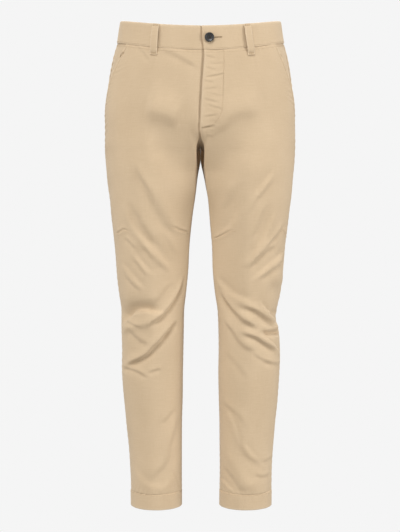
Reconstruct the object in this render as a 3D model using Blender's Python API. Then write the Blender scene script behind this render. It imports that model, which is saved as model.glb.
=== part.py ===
"""Chino trousers in the shape that they have when worn, hollow and open at the waist and the hems.

Units are metres with +Z up. The front faces -Y and the wearer's left side is +X. The origin is the centre of
the waistband ring, half way up the band at the side. Heights are given as drops, in millimetres down from the
top edge of the band at the side. A place around the cloth is a turn: 0 at the centre front or the inseam, 1 at
the side seam, and 2 at the centre back or the inseam again.
"""

import math
from collections import namedtuple

import bmesh
import bpy
import numpy as np
from mathutils import Matrix, Vector

MM = 0.001

# Heights
BAND_HALF_HEIGHT = 20
BAND_HEIGHT_SIDE = 40
BAND_HEIGHT_FRONT = 44
BAND_HEIGHT_BACK = 42
TOP_DIP_FRONT = 13.4
TOP_DIP_BACK = 2.5
LEVEL_DROP = 150
CROTCH_DROP = 253
KNEE_FROM_DROP = 500
KNEE_TO_DROP = 720
HEM_DROP = 943
HEM_HEIGHT = 30

# Cloth
CLOTH = 1.8
BAND_CLOTH = 2.6
PLACKET_CLOTH = 1.2
HEM_CLOTH = 2.8
LOOP_CLOTH = 1.8
SEAM_GAP = 0.3
LAYER_GAP = 0.4

# Fork, where the hips part into two legs: each part of it spreads over a range of drops
FORK_FROM_DROP = 145
FORK_TO_DROP = 330
SINK_TO_DROP = 292
FRONT_FORK_POWER = 3
SEAM_DIVE_POWER = 11
SEAM_DIVE_SPAN = 0.14
BACK_FORK_FROM_DROP = 93
BACK_FORK_POWER = 4
BACK_LAG_DROP = 40
BACK_LAG_FROM = 0.12
BACK_LAG_SPAN = 0.5
LEG_GAP = 0.3

# Cleft, where the two fronts part below the fly and open like a V
CLEFT_FROM_DROP = 194
CLEFT_TO_DROP = 248
CLEFT_SPAN = 0.4
CLEFT_FLARE = 7.0
CLEFT_FLARE_END_DROP = 335

# Inner sides of the thighs. In front they run forward to a corner, at this angle round the leg, and slant
# outward from there. At the back they are only squarer than an ellipse.
INNER_CORNER = 0.5
SLANT_SOFTNESS = 0.4
CORNER_FADE_FROM_DROP = 430
CORNER_FADE_TO_DROP = 720
BACK_SQUARING = 0.45
SQUARING_FADE_DROP = 620

# Form of the hips: how boxy they are, and how the turns bunch towards the side
HIP_ROUNDNESS = 0.12
HIP_BUNCHING = 0.3

# Fly and waistband lap
FLY_WIDTH = 40
FLY_TIP = 2
FLY_BOTTOM_DROP = 203
UNDERLAP = 16
UNDERLAP_FULL_DROP = 128
UNDERLAP_END_DROP = 158
BUTT_FROM_DROP = 172
FLY_LEVEL_DROP = 200
PLACKET_SINK = 1.2
LAP_FLAT = 3
LAP_SLOPE = 14
BAND_UNDERLAP = 36
CENTRE_ARC = 178

# Slanted pocket
POCKET_TOP_CUT = 64
POCKET_TOP_DROP = 40
POCKET_END_DROP = 185
POCKET_UNDERLAP = 14
POCKET_GAPE = 1.6
FACING_END_DROP = 196
FACING_TUCK = 6
FACING_GAP = 1.0
SIDE_ARC = 240

# Belt loops and button
LOOP_WIDTH = 13
LOOP_TOP_DROP = 0.5
LOOP_LENGTH = 57.5
LOOP_STAND = 2.6
LOOP_PROBE = 0.02
BUTTON_RADIUS = 9.0
BUTTON_THICKNESS = 3.2
BUTTON_TURN = 0.068
BUTTON_BAND_SHARE = 0.5
BUTTON_STAND = 0.5
HOLE_RADIUS = 1.0
HOLE_RING_RADIUS = 2.3

# The button's half section, from the middle of its back round its rim to the middle of its dished face
ButtonStep = namedtuple("ButtonStep", "radius_share height_share")
BUTTON_PROFILE = (
    ButtonStep(0.0, 0.0),
    ButtonStep(0.78, 0.0),
    ButtonStep(1.0, 0.35),
    ButtonStep(1.0, 0.7),
    ButtonStep(0.9, 1.0),
    ButtonStep(0.72, 0.92),
    ButtonStep(0.6, 0.7),
    ButtonStep(0.0, 0.6),
)

# Colours, in linear light
TWILL_COLOUR = (0.61, 0.455, 0.285)
BUTTON_COLOUR = (0.035, 0.035, 0.036)

# How far each side reaches from the centre plane, seen from the front
Outline = namedtuple("Outline", "drop right_outer right_inner left_outer left_inner")
OUTLINE = (
    Outline(0, 156.1, 0, 156.5, 0),
    Outline(39, 161.8, 0, 162.0, 0),
    Outline(73, 170.5, 0, 169.9, 0),
    Outline(120, 179.3, 0, 177.6, 0),
    Outline(166, 185.5, 0, 183.0, 0),
    Outline(212, 185.7, 0, 183.7, 0),
    Outline(253, 185.5, 0.1, 183.3, 0.1),
    Outline(267, 184.5, 0.3, 182.4, 0.3),
    Outline(294, 182.3, 3.9, 180.3, 4.3),
    Outline(340, 176.8, 10.1, 176.0, 13.0),
    Outline(387, 172.5, 16.2, 170.7, 17.7),
    Outline(434, 167.6, 20.8, 165.6, 21.6),
    Outline(481, 164.0, 23.4, 161.3, 23.8),
    Outline(528, 158.1, 27.9, 155.6, 28.3),
    Outline(563, 154.2, 31.4, 149.8, 33.0),
    Outline(587, 154.6, 31.9, 151.8, 34.2),
    Outline(634, 154.2, 32.7, 154.9, 34.8),
    Outline(681, 154.4, 33.5, 155.0, 34.1),
    Outline(728, 150.5, 34.1, 152.1, 35.1),
    Outline(776, 145.9, 35.5, 147.3, 36.3),
    Outline(823, 141.2, 35.9, 143.1, 36.7),
    Outline(871, 138.3, 36.0, 140.7, 37.1),
    Outline(943, 137.0, 35.8, 139.9, 36.2),
)

# How far forward and back the cloth reaches from the side plane, and where its seams lie, seen from the side
Profile = namedtuple("Profile", "drop hip_front hip_back leg_front leg_back side_seam inseam")
PROFILE = (
    Profile(0, 101, 105, 99, 104, 6, -24),
    Profile(39, 105, 110, 100, 106, 8, -24),
    Profile(90, 109, 120, 102, 108, 10, -24),
    Profile(140, 110, 129, 103, 108, 12, -24),
    Profile(180, 109, 133, 103, 107, 12, -24),
    Profile(220, 107, 130, 102, 104, 11, -24),
    Profile(253, 105, 122, 101, 99, 9, -22),
    Profile(294, 105, 122, 99, 87, 6, -14),
    Profile(340, 105, 122, 96, 77, 3, -7),
    Profile(400, 105, 122, 90, 69, 0, -4),
    Profile(460, 105, 122, 85, 64, -2, -4),
    Profile(520, 105, 122, 81, 60, -4, -5),
    Profile(580, 105, 122, 77, 58, -3, -4),
    Profile(640, 105, 122, 70, 64, 0, -1),
    Profile(700, 105, 122, 66, 69, 3, 2),
    Profile(770, 105, 122, 62, 70, 5, 4),
    Profile(850, 105, 122, 58, 69, 6, 5),
    Profile(943, 105, 122, 56, 68, 6, 6),
)

# How far forward the corner of a thigh reaches, as a share of the whole front
CornerReach = namedtuple("CornerReach", "drop reach")
CORNER_REACH = (
    CornerReach(0, 0.53),
    CornerReach(253, 0.53),
    CornerReach(300, 0.49),
    CornerReach(360, 0.44),
    CornerReach(620, 0.42),
    CornerReach(943, 0.42),
)

# Where the edge of the fly lies to the wearer's left of the centre plane
FlyEdge = namedtuple("FlyEdge", "drop offset")
FLY_EDGE = (
    FlyEdge(0, 3.0),
    FlyEdge(40, 4.8),
    FlyEdge(62, 7.4),
    FlyEdge(90, 5.8),
    FlyEdge(125, 3.4),
    FlyEdge(160, 1.8),
    FlyEdge(215, 0.4),
    FlyEdge(253, 0.0),
)

# The largest folds and hollows. A turn is in degrees here, 180 to the half turn, and a height below 0 is a trough.
Fold = namedtuple("Fold", "side from_turn from_drop to_turn to_drop width height")
FOLD_FADE = 2.4
FOLDS = (
    # wearer's right leg, front
    Fold(-1, 103, 300, 77, 364, 12, -2.5),
    Fold(-1, 84, 350, 50, 414, 10, -3.0),
    Fold(-1, 50, 414, 44, 440, 9, -2.0),
    Fold(-1, 122, 364, 68, 466, 10, 2.5),
    Fold(-1, 98, 436, 79, 468, 7, -1.5),
    Fold(-1, 135, 481, 116, 511, 8, -2.0),
    Fold(-1, 138, 563, 110, 537, 9, -2.5),
    Fold(-1, 110, 537, 69, 547, 9, -3.0),
    Fold(-1, 50, 497, 84, 550, 8, 2.2),
    Fold(-1, 33, 501, 65, 557, 8, -3.0),
    Fold(-1, 65, 557, 103, 587, 8, -2.5),
    Fold(-1, 60, 570, 100, 612, 8, 2.4),
    Fold(-1, 50, 583, 92, 629, 8, -4.0),
    Fold(-1, 92, 629, 157, 669, 8, -3.5),
    Fold(-1, 104, 618, 152, 653, 8, 2.2),
    Fold(-1, 36, 791, 60, 857, 12, -2.0),
    Fold(-1, 50, 863, 79, 895, 10, 1.5),
    # wearer's left leg, front
    Fold(1, 118, 304, 87, 366, 12, -3.0),
    Fold(1, 121, 388, 99, 436, 10, 2.0),
    Fold(1, 138, 406, 119, 422, 8, -1.8),
    Fold(1, 134, 434, 93, 464, 9, -2.5),
    Fold(1, 151, 462, 118, 487, 9, -2.5),
    Fold(1, 150, 480, 172, 559, 12, -2.5),
    Fold(1, 39, 529, 106, 587, 8, -3.0),
    Fold(1, 74, 543, 153, 585, 8, -3.5),
    Fold(1, 116, 593, 176, 601, 6, -2.0),
    Fold(1, 73, 599, 137, 633, 7, -3.5),
    Fold(1, 63, 604, 102, 641, 7, -2.0),
    Fold(1, 65, 659, 84, 689, 8, -1.5),
    Fold(1, 53, 817, 111, 905, 10, 1.5),
    Fold(1, 76, 805, 127, 863, 10, -2.0),
    # backs of both legs: under the seat, behind the knee and at the calf
    Fold(-1, 322, 268, 240, 306, 13, -3.5),
    Fold(-1, 330, 312, 262, 352, 12, -2.2),
    Fold(-1, 252, 508, 322, 528, 10, -2.2),
    Fold(-1, 208, 545, 300, 566, 9, -3.5),
    Fold(-1, 200, 592, 284, 604, 9, -3.5),
    Fold(-1, 232, 640, 322, 626, 9, -3.0),
    Fold(-1, 222, 724, 286, 790, 12, -2.0),
    Fold(-1, 306, 826, 250, 884, 10, -1.8),
    Fold(1, 318, 264, 232, 296, 14, -3.5),
    Fold(1, 326, 304, 268, 350, 11, -2.4),
    Fold(1, 240, 514, 316, 522, 10, -2.0),
    Fold(1, 204, 556, 292, 552, 9, -3.3),
    Fold(1, 212, 586, 310, 610, 9, -3.6),
    Fold(1, 224, 648, 300, 636, 9, -2.8),
    Fold(1, 238, 716, 296, 776, 12, -2.2),
    Fold(1, 296, 834, 236, 874, 10, -1.6),
)

BeltLoop = namedtuple("BeltLoop", "name side turn")
BELT_LOOPS = (
    BeltLoop("belt_loop_front_right", -1, 0.441),
    BeltLoop("belt_loop_front_left", 1, 0.444),
    BeltLoop("belt_loop_back_right", -1, 1.42),
    BeltLoop("belt_loop_back_left", 1, 1.42),
    BeltLoop("belt_loop_back_centre", 1, 2.0),
)

Spread = namedtuple("Spread", "from_drop to_drop steps")
PANEL_ROWS = (
    Spread(BAND_HEIGHT_SIDE, LEVEL_DROP, 7),
    Spread(LEVEL_DROP, CROTCH_DROP, 10),
    Spread(CROTCH_DROP, KNEE_FROM_DROP, 12),
    Spread(KNEE_FROM_DROP, KNEE_TO_DROP, 17),
    Spread(KNEE_TO_DROP, HEM_DROP - HEM_HEIGHT, 9),
)
FRONT_COLUMNS = 15
BACK_COLUMNS = 13
PLACKET_ROWS = 13
PLACKET_COLUMNS = 6
FACING_ROWS = 11
FACING_COLUMNS = 7
BAND_ROWS = 3
HEM_ROWS = 3
LOOP_ROWS = 9
BUTTON_STEPS = 28
HOLE_SEGMENTS = 10
BAND_COLUMNS = 25
HEM_COLUMNS = 32

# Small steps: past a seam so that a point counts as the back's, and along the cloth to find which way it faces
PAST_SEAM = 1e-6
NORMAL_STEP = 1e-3
WELD_DISTANCE = 1e-6


def smooth_step(value):
    """0 below 0, 1 above 1, and a soft slope between."""
    value = np.clip(value, 0.0, 1.0)
    return value * value * (3.0 - 2.0 * value)


def read_table(table, column, drop):
    """A column of a table at any drop, on a smooth curve through its rows."""
    knots = np.array([row.drop for row in table], float)
    values = np.array([getattr(row, column) for row in table], float)
    slopes = np.gradient(values, knots)
    drop = np.clip(drop, knots[0], knots[-1])
    index = np.clip(np.searchsorted(knots, drop, side="right") - 1, 0, len(knots) - 2)
    span = knots[index + 1] - knots[index]
    part = (drop - knots[index]) / span
    rise = part * part * (3.0 - 2.0 * part)
    start_pull = part * (1.0 - part) ** 2 * slopes[index]
    end_pull = part * part * (part - 1.0) * slopes[index + 1]
    bulge = span * (start_pull + end_pull)
    return values[index] * (1.0 - rise) + values[index + 1] * rise + bulge


def from_side_seam(turn):
    """The share of the way from the side seam to the centre line: 0 at the seam, 1 at the centre."""
    return np.abs(1.0 - turn)


def hip_angle(turn):
    """The angle round the hips from the side seam, spaced so that the cloth is shared evenly."""
    share = 1.0 - from_side_seam(turn)
    return math.pi / 2 * (1.0 - share * (1.0 - HIP_BUNCHING + HIP_BUNCHING * share))


def top_dip(turn):
    """How far the top edge of the band hangs below its height at the side."""
    depth = np.where(turn <= 1.0, TOP_DIP_FRONT, TOP_DIP_BACK)
    return depth * np.sin(hip_angle(turn)) ** 2


def band_height(turn):
    centre = np.where(turn <= 1.0, BAND_HEIGHT_FRONT, BAND_HEIGHT_BACK)
    return BAND_HEIGHT_SIDE + (centre - BAND_HEIGHT_SIDE) * np.sin(hip_angle(turn)) ** 2


def band_drop(turn, share):
    """The drop of a point of the waistband, from share 0 at its top edge to 1 at its seam."""
    return top_dip(turn) + share * band_height(turn)


def panel_drop(turn, level):
    """The drop of a point on a row of a leg panel: the rows follow the waist seam and level out below it."""
    sag = band_drop(turn, 1.0) - BAND_HEIGHT_SIDE
    fade = 1.0 - smooth_step((level - BAND_HEIGHT_SIDE) / (LEVEL_DROP - BAND_HEIGHT_SIDE))
    return level + sag * fade


def fade_between(drop, start, end):
    """1 down to one drop, 0 from another."""
    return 1.0 - smooth_step((drop - start) / (end - start))


def late_rise(drop, start, end, power):
    """0 down to one drop, 1 from another, with most of the rise just above the second."""
    gone = np.clip((drop - start) / (end - start), 0.0, 1.0)
    return gone ** power * (power + 1 - power * gone)


def fork_shares(turn, drop):
    """0 where the cloth is round the hips, 1 where it is round one leg: one share across, one front to back."""
    from_centre = 1.0 - from_side_seam(turn)
    across = late_rise(drop, FORK_FROM_DROP, FORK_TO_DROP, FRONT_FORK_POWER)
    cleft = 1.0 - fade_between(drop, CLEFT_FROM_DROP, CLEFT_TO_DROP)
    across = across + np.maximum(cleft - across, 0.0) * fade_between(from_centre, 0.0, CLEFT_SPAN)
    sink = late_rise(drop, FORK_FROM_DROP, SINK_TO_DROP, FRONT_FORK_POWER)
    seam_dive = late_rise(drop, FORK_FROM_DROP, CROTCH_DROP, SEAM_DIVE_POWER)
    sink = sink + (seam_dive - sink) * fade_between(from_centre, 0.0, SEAM_DIVE_SPAN)
    lag = BACK_LAG_DROP * smooth_step((from_centre - BACK_LAG_FROM) / BACK_LAG_SPAN)
    back = late_rise(drop - lag, BACK_FORK_FROM_DROP, CROTCH_DROP, BACK_FORK_POWER)
    is_front = turn <= 1.0
    return np.where(is_front, across, back), np.where(is_front, sink, back)


def inner_front(leg_angle, reach):
    """How far across and forward the inner front of a thigh is: a wall, a corner, and a slant from there."""
    across = (1.0 - np.cos(np.minimum(leg_angle, math.pi / 2))) ** 2 / 2
    wall = 1.0 - np.clip(1.0 - leg_angle / INNER_CORNER, 0.0, 1.0) ** 2
    slant = np.hypot(1.0 - 2.0 * across, SLANT_SOFTNESS) - SLANT_SOFTNESS
    slant = slant / (math.hypot(1.0, SLANT_SOFTNESS) - SLANT_SOFTNESS)
    return across, wall * (1.0 - (1.0 - reach) * slant)


def leg_section(is_front, leg_angle, drop):
    """How far round a leg a point is, as shares of its width and of its depth."""
    is_inner = leg_angle < math.pi / 2
    corner = fade_between(drop, CORNER_FADE_FROM_DROP, CORNER_FADE_TO_DROP) * is_front * is_inner
    squaring = BACK_SQUARING * fade_between(drop, CROTCH_DROP, SQUARING_FADE_DROP) * is_inner * ~is_front
    across, forward = inner_front(leg_angle, read_table(CORNER_REACH, "reach", drop))
    round_across = (1.0 - np.cos(leg_angle) * (1.0 + squaring * np.sin(leg_angle) ** 2)) / 2
    round_forward = np.sin(leg_angle) * (1.0 + squaring * np.cos(leg_angle) ** 2)
    outward = round_across * (1.0 - corner) + across * corner
    return outward, round_forward * (1.0 - corner) + forward * corner


def smooth_point(side, turn, drop, seam_gap):
    """A point of the outer face with no folds. Side is -1 for the wearer's right and 1 for the left."""
    turn, drop = np.broadcast_arrays(turn, drop)
    name = "left" if side > 0 else "right"
    outer = read_table(OUTLINE, name + "_outer", drop)
    inner = read_table(OUTLINE, name + "_inner", drop) + LEG_GAP / 2
    is_front = turn <= 1.0
    face = np.where(is_front, -1.0, 1.0)
    seam = read_table(PROFILE, "side_seam", drop)
    inseam = read_table(PROFILE, "inseam", drop)
    front_reach = read_table(PROFILE, "hip_front", drop) + seam
    back_reach = read_table(PROFILE, "hip_back", drop) - seam
    reach = np.where(is_front, front_reach, back_reach) - seam_gap / 2

    angle = hip_angle(turn)
    edge = np.where(is_front, read_table(FLY_EDGE, "offset", drop), 0.0) * side
    start = edge + seam_gap / 2
    hip_across = start + (outer - start) * np.cos(angle)
    roundness = 1.0 + HIP_ROUNDNESS * np.cos(angle) ** 2
    hip_depth = seam + face * (seam_gap / 2 + reach * np.sin(angle) * roundness)

    leg_angle = math.pi * (1.0 - from_side_seam(turn))
    outward, forward = leg_section(is_front, leg_angle, drop)
    flare = CLEFT_FLARE * fade_between(drop, CROTCH_DROP, CLEFT_FLARE_END_DROP) * is_front
    flare = flare * smooth_step(leg_angle / INNER_CORNER) * np.clip(1.0 - 2.0 * outward, 0.0, 1.0)
    leg_across = inner + (outer - inner) * outward + flare
    leg_seam = inseam + (seam - inseam) * outward
    leg_front = read_table(PROFILE, "leg_front", drop) + (seam + inseam) / 2
    leg_back = read_table(PROFILE, "leg_back", drop) - (seam + inseam) / 2
    leg_reach = np.where(is_front, leg_front, leg_back) - seam_gap / 2
    leg_depth = leg_seam + face * (seam_gap / 2 + leg_reach * forward)

    share, sink = fork_shares(turn, drop)
    across = side * (hip_across * (1.0 - share) + leg_across * share)
    depth = hip_depth * (1.0 - sink) + leg_depth * sink
    return np.stack([across, depth, BAND_HALF_HEIGHT - drop], axis=-1)


def mm_per_degree(side, drop):
    """How much cloth one degree of a turn takes up round a leg."""
    name = "left" if side > 0 else "right"
    half_width = (read_table(OUTLINE, name + "_outer", drop) - read_table(OUTLINE, name + "_inner", drop)) / 2
    half_depth = (read_table(PROFILE, "leg_front", drop) + read_table(PROFILE, "leg_back", drop)) / 2
    return math.pi * np.hypot(half_width, half_depth) / math.sqrt(2) / 180


def fold_height(fold, turn, drop):
    """How far one fold pushes the cloth out: a soft ridge or trough that fades at both ends."""
    scale = mm_per_degree(fold.side, (fold.from_drop + fold.to_drop) / 2)
    run_across = (fold.to_turn - fold.from_turn) * scale
    run_down = fold.to_drop - fold.from_drop
    length = math.hypot(run_across, run_down)
    across = (turn * 180 - fold.from_turn) * scale
    down = drop - fold.from_drop
    along = (across * run_across + down * run_down) / length
    aside = (down * run_across - across * run_down) / length
    fade_length = FOLD_FADE * fold.width
    fade_in = smooth_step((along + fold.width) / fade_length)
    fade_out = smooth_step((length + fold.width - along) / fade_length)
    return fold.height * fade_in * fade_out * np.exp(-((aside / fold.width) ** 2))


def pocket_cut(drop):
    """How far the pocket mouth lies in front of the side seam."""
    share = (drop - POCKET_TOP_DROP) / (POCKET_END_DROP - POCKET_TOP_DROP)
    return POCKET_TOP_CUT * np.clip(1.0 - share, 0.0, 1.0)


def pocket_gape(turn, drop):
    """The mouth of the pocket stands a little away from the hip between its two ends."""
    share = (drop - POCKET_TOP_DROP) / (POCKET_END_DROP - POCKET_TOP_DROP)
    open_part = np.sin(math.pi * np.clip(share, 0.0, 1.0)) ** 2
    from_edge = ((1.0 - turn) * SIDE_ARC - pocket_cut(drop)) / POCKET_UNDERLAP
    return POCKET_GAPE * open_part * np.exp(-(from_edge ** 2)) * (turn <= 1.0)


def fly_dip(turn, drop, depth):
    """How far the wearer's right side dips on its way under the left one."""
    from_edge = turn * CENTRE_ARC
    inward = smooth_step((LAP_FLAT + LAP_SLOPE - from_edge) / LAP_SLOPE)
    fade = 1.0 - smooth_step((drop - BUTT_FROM_DROP) / (FLY_LEVEL_DROP - BUTT_FROM_DROP))
    return depth * inward * fade


def outward_faces(surface, side, turn, drop):
    """Unit vectors that point out of the garment at the points of a surface function."""
    step = NORMAL_STEP
    half = np.where(turn <= 1.0, 0.5, 1.5)
    turn_step = np.where(turn < half, step, -step)
    here = surface(turn, drop)
    around = (surface(turn + turn_step, drop) - here) / turn_step[..., None]
    down = (surface(turn, drop + step) - here) / step
    normal = -side * np.cross(around, down)
    return normal / np.linalg.norm(normal, axis=-1, keepdims=True)


def relief(side, turn, drop):
    total = pocket_gape(turn, drop)
    for fold in FOLDS:
        if fold.side == side:
            total = total + fold_height(fold, turn, drop)
    return total


def cloth_layer(side, turn, drop, push, thickness, seam_gap=SEAM_GAP, layer_relief=relief):
    """The outer and inner points of a layer of cloth, its outer face pushed out from the garment's form."""
    turn, drop, push = np.broadcast_arrays(turn, drop, push)

    def smooth(at_turn, at_drop):
        return smooth_point(side, at_turn, at_drop, seam_gap)

    def folded(at_turn, at_drop):
        height = layer_relief(side, at_turn, at_drop)[..., None]
        return smooth(at_turn, at_drop) + height * outward_faces(smooth, side, at_turn, at_drop)

    outward = outward_faces(folded, side, turn, drop)
    outer = folded(turn, drop) + push[..., None] * outward
    return outer, outer - thickness * outward


def no_relief(side, turn, drop):
    return np.zeros(np.broadcast(turn, drop).shape)


def right_front_relief(side, turn, drop):
    return relief(side, turn, drop) - fly_dip(turn, drop, CLOTH + PLACKET_CLOTH + 2 * LAYER_GAP)


def right_band_relief(side, turn, drop):
    return -fly_dip(turn, drop, BAND_CLOTH + LAYER_GAP)


def make_material(name, colour, roughness):
    material = bpy.data.materials.new(name)
    material.use_nodes = True
    shader = material.node_tree.nodes["Principled BSDF"]
    shader.inputs["Base Color"].default_value = (*colour, 1.0)
    shader.inputs["Roughness"].default_value = roughness
    shader.inputs["Metallic"].default_value = 0.0
    return material


def place(mesh, name, material, parent):
    """Makes the object of a mesh, with its faces pointing out."""
    shape = bmesh.new()
    shape.from_mesh(mesh)
    bmesh.ops.recalc_face_normals(shape, faces=shape.faces)
    shape.to_mesh(mesh)
    shape.free()
    mesh.shade_smooth()
    mesh.set_sharp_from_angle(angle=math.radians(40))
    mesh.materials.append(material)
    part = bpy.data.objects.new(name, mesh)
    part.parent = parent
    bpy.context.scene.collection.objects.link(part)
    return part


def make_wall(name, layers, material, parent, ring=False):
    """A closed wall between two equal grids of points. A ring joins its last column to its first."""
    outer, inner = layers
    rows, columns, _ = outer.shape
    spans = columns if ring else columns - 1

    def corner(layer, row, column):
        return (layer * rows + row) * columns + column % columns

    faces = []
    for row in range(rows - 1):
        for column in range(spans):
            for layer in (0, 1):
                faces.append((
                    corner(layer, row, column),
                    corner(layer, row, column + 1),
                    corner(layer, row + 1, column + 1),
                    corner(layer, row + 1, column),
                ))
    for row in (0, rows - 1):
        for column in range(spans):
            faces.append((
                corner(0, row, column),
                corner(0, row, column + 1),
                corner(1, row, column + 1),
                corner(1, row, column),
            ))
    for column in (() if ring else (0, columns - 1)):
        for row in range(rows - 1):
            faces.append((
                corner(0, row, column),
                corner(0, row + 1, column),
                corner(1, row + 1, column),
                corner(1, row, column),
            ))
    points = np.concatenate([outer.reshape(-1, 3), inner.reshape(-1, 3)]) * MM
    mesh = bpy.data.meshes.new(name)
    mesh.from_pydata(points.tolist(), [], faces)
    return place(mesh, name, material, parent)


def panel_levels():
    """The rows of a leg panel, closest together at the knee."""
    levels = [BAND_HEIGHT_SIDE + SEAM_GAP]
    for spread in PANEL_ROWS:
        levels.extend(np.linspace(spread.from_drop, spread.to_drop, spread.steps + 1)[1:])
    return np.array(levels)[:, None]


def make_front(side, material, parent):
    """A front, from the fly or the inseam round to the pocket mouth and the side seam."""
    levels = panel_levels()
    is_right = side < 0
    lap_fade = 1.0 - smooth_step((levels - UNDERLAP_FULL_DROP) / (UNDERLAP_END_DROP - UNDERLAP_FULL_DROP))
    start = -UNDERLAP * lap_fade / CENTRE_ARC if is_right else np.zeros_like(levels)
    flat_end = LAP_FLAT / CENTRE_ARC
    end = 1.0 - pocket_cut(levels) / SIDE_ARC
    lapped = start + (flat_end - start) * np.array([[0.0, 0.5]])
    open_part = flat_end + (end - flat_end) * np.linspace(0.0, 1.0, FRONT_COLUMNS)[None, :]
    turn = np.concatenate([lapped, open_part] if is_right else [start, open_part], axis=1)
    bumps = right_front_relief if is_right else relief
    layers = cloth_layer(side, turn, panel_drop(turn, levels), 0.0, CLOTH, layer_relief=bumps)
    make_wall("front_right" if is_right else "front_left", layers, material, parent)


def make_back(side, material, parent):
    """A back, from the side seam round to the centre back or the inseam."""
    turn = np.linspace(1.0 + PAST_SEAM, 2.0, BACK_COLUMNS)[None, :]
    layers = cloth_layer(side, turn, panel_drop(turn, panel_levels()), 0.0, CLOTH)
    make_wall("back_right" if side < 0 else "back_left", layers, material, parent)


def make_band(side, material, parent):
    """Half of the waistband. The right half runs on under the left one and carries the button."""
    is_right = side < 0
    start = -BAND_UNDERLAP / CENTRE_ARC if is_right else 0.0
    turn = np.linspace(start, 2.0, BAND_COLUMNS)[None, :]
    share = np.linspace(0.0, 1.0, BAND_ROWS)[:, None]
    bumps = right_band_relief if is_right else no_relief
    layers = cloth_layer(side, turn, band_drop(turn, share), 0.0, BAND_CLOTH, layer_relief=bumps)
    make_wall("waistband_right" if is_right else "waistband_left", layers, material, parent)


def make_placket(material, parent):
    """The J-shaped layer behind the edge of the left front."""
    levels = np.linspace(BAND_HEIGHT_SIDE + SEAM_GAP, FLY_BOTTOM_DROP, PLACKET_ROWS)[:, None]
    curve_from = FLY_BOTTOM_DROP - FLY_WIDTH
    curve = np.clip((levels - curve_from) / (FLY_WIDTH + FLY_TIP), 0.0, 1.0)
    width = FLY_WIDTH * np.sqrt(1.0 - curve ** 2)
    turn = width / CENTRE_ARC * np.linspace(0.0, 1.0, PLACKET_COLUMNS)[None, :]
    sink = PLACKET_SINK * (1.0 - fade_between(levels, UNDERLAP_END_DROP, FLY_BOTTOM_DROP))
    layers = cloth_layer(1, turn, panel_drop(turn, levels), -CLOTH - LAYER_GAP - sink, PLACKET_CLOTH)
    make_wall("fly_placket", layers, material, parent)


def make_facing(side, material, parent):
    """The cloth inside a pocket mouth, under the edges of the front and the back."""
    levels = np.linspace(BAND_HEIGHT_SIDE + SEAM_GAP, FACING_END_DROP, FACING_ROWS)[:, None]
    start = 1.0 - (pocket_cut(levels) + POCKET_UNDERLAP) / SIDE_ARC
    end = 1.0 + FACING_TUCK / SIDE_ARC
    turn = start + (end - start) * np.linspace(0.0, 1.0, FACING_COLUMNS)[None, :]
    depth = -CLOTH - FACING_GAP
    layers = cloth_layer(side, turn, panel_drop(turn, levels), depth, CLOTH, 0.0, no_relief)
    make_wall("pocket_facing_right" if side < 0 else "pocket_facing_left", layers, material, parent)


def make_hem(side, material, parent):
    """The turned-up hem of a leg, in doubled cloth."""
    turn = np.linspace(0.0, 2.0, HEM_COLUMNS, endpoint=False)[None, :]
    drop = np.linspace(HEM_DROP - HEM_HEIGHT + SEAM_GAP, HEM_DROP, HEM_ROWS)[:, None]
    layers = cloth_layer(side, turn, drop, 0.0, HEM_CLOTH, 0.0)
    make_wall("hem_right" if side < 0 else "hem_left", layers, material, parent, ring=True)


def make_loop(loop, material, parent):
    """A belt loop, sewn down at both ends and standing off the band between them."""
    middle_drop = LOOP_TOP_DROP + LOOP_LENGTH / 2
    ends = loop.turn + LOOP_PROBE * np.array([-0.5, 0.5])
    near = smooth_point(loop.side, ends, middle_drop, 0.0)
    mm_per_turn = np.linalg.norm(near[1] - near[0]) / LOOP_PROBE
    turn = loop.turn + LOOP_WIDTH / mm_per_turn * np.array([[-0.5, 0.0, 0.5]])
    share = np.linspace(0.0, 1.0, LOOP_ROWS)[:, None]
    drop = top_dip(turn) + LOOP_TOP_DROP + LOOP_LENGTH * share
    stand = LAYER_GAP + LOOP_CLOTH + LOOP_STAND * np.sqrt(np.sin(math.pi * share).clip(0.0, 1.0))
    layers = cloth_layer(loop.side, turn, drop, stand, LOOP_CLOTH, 0.0, no_relief)
    make_wall(loop.name, layers, material, parent)


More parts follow.
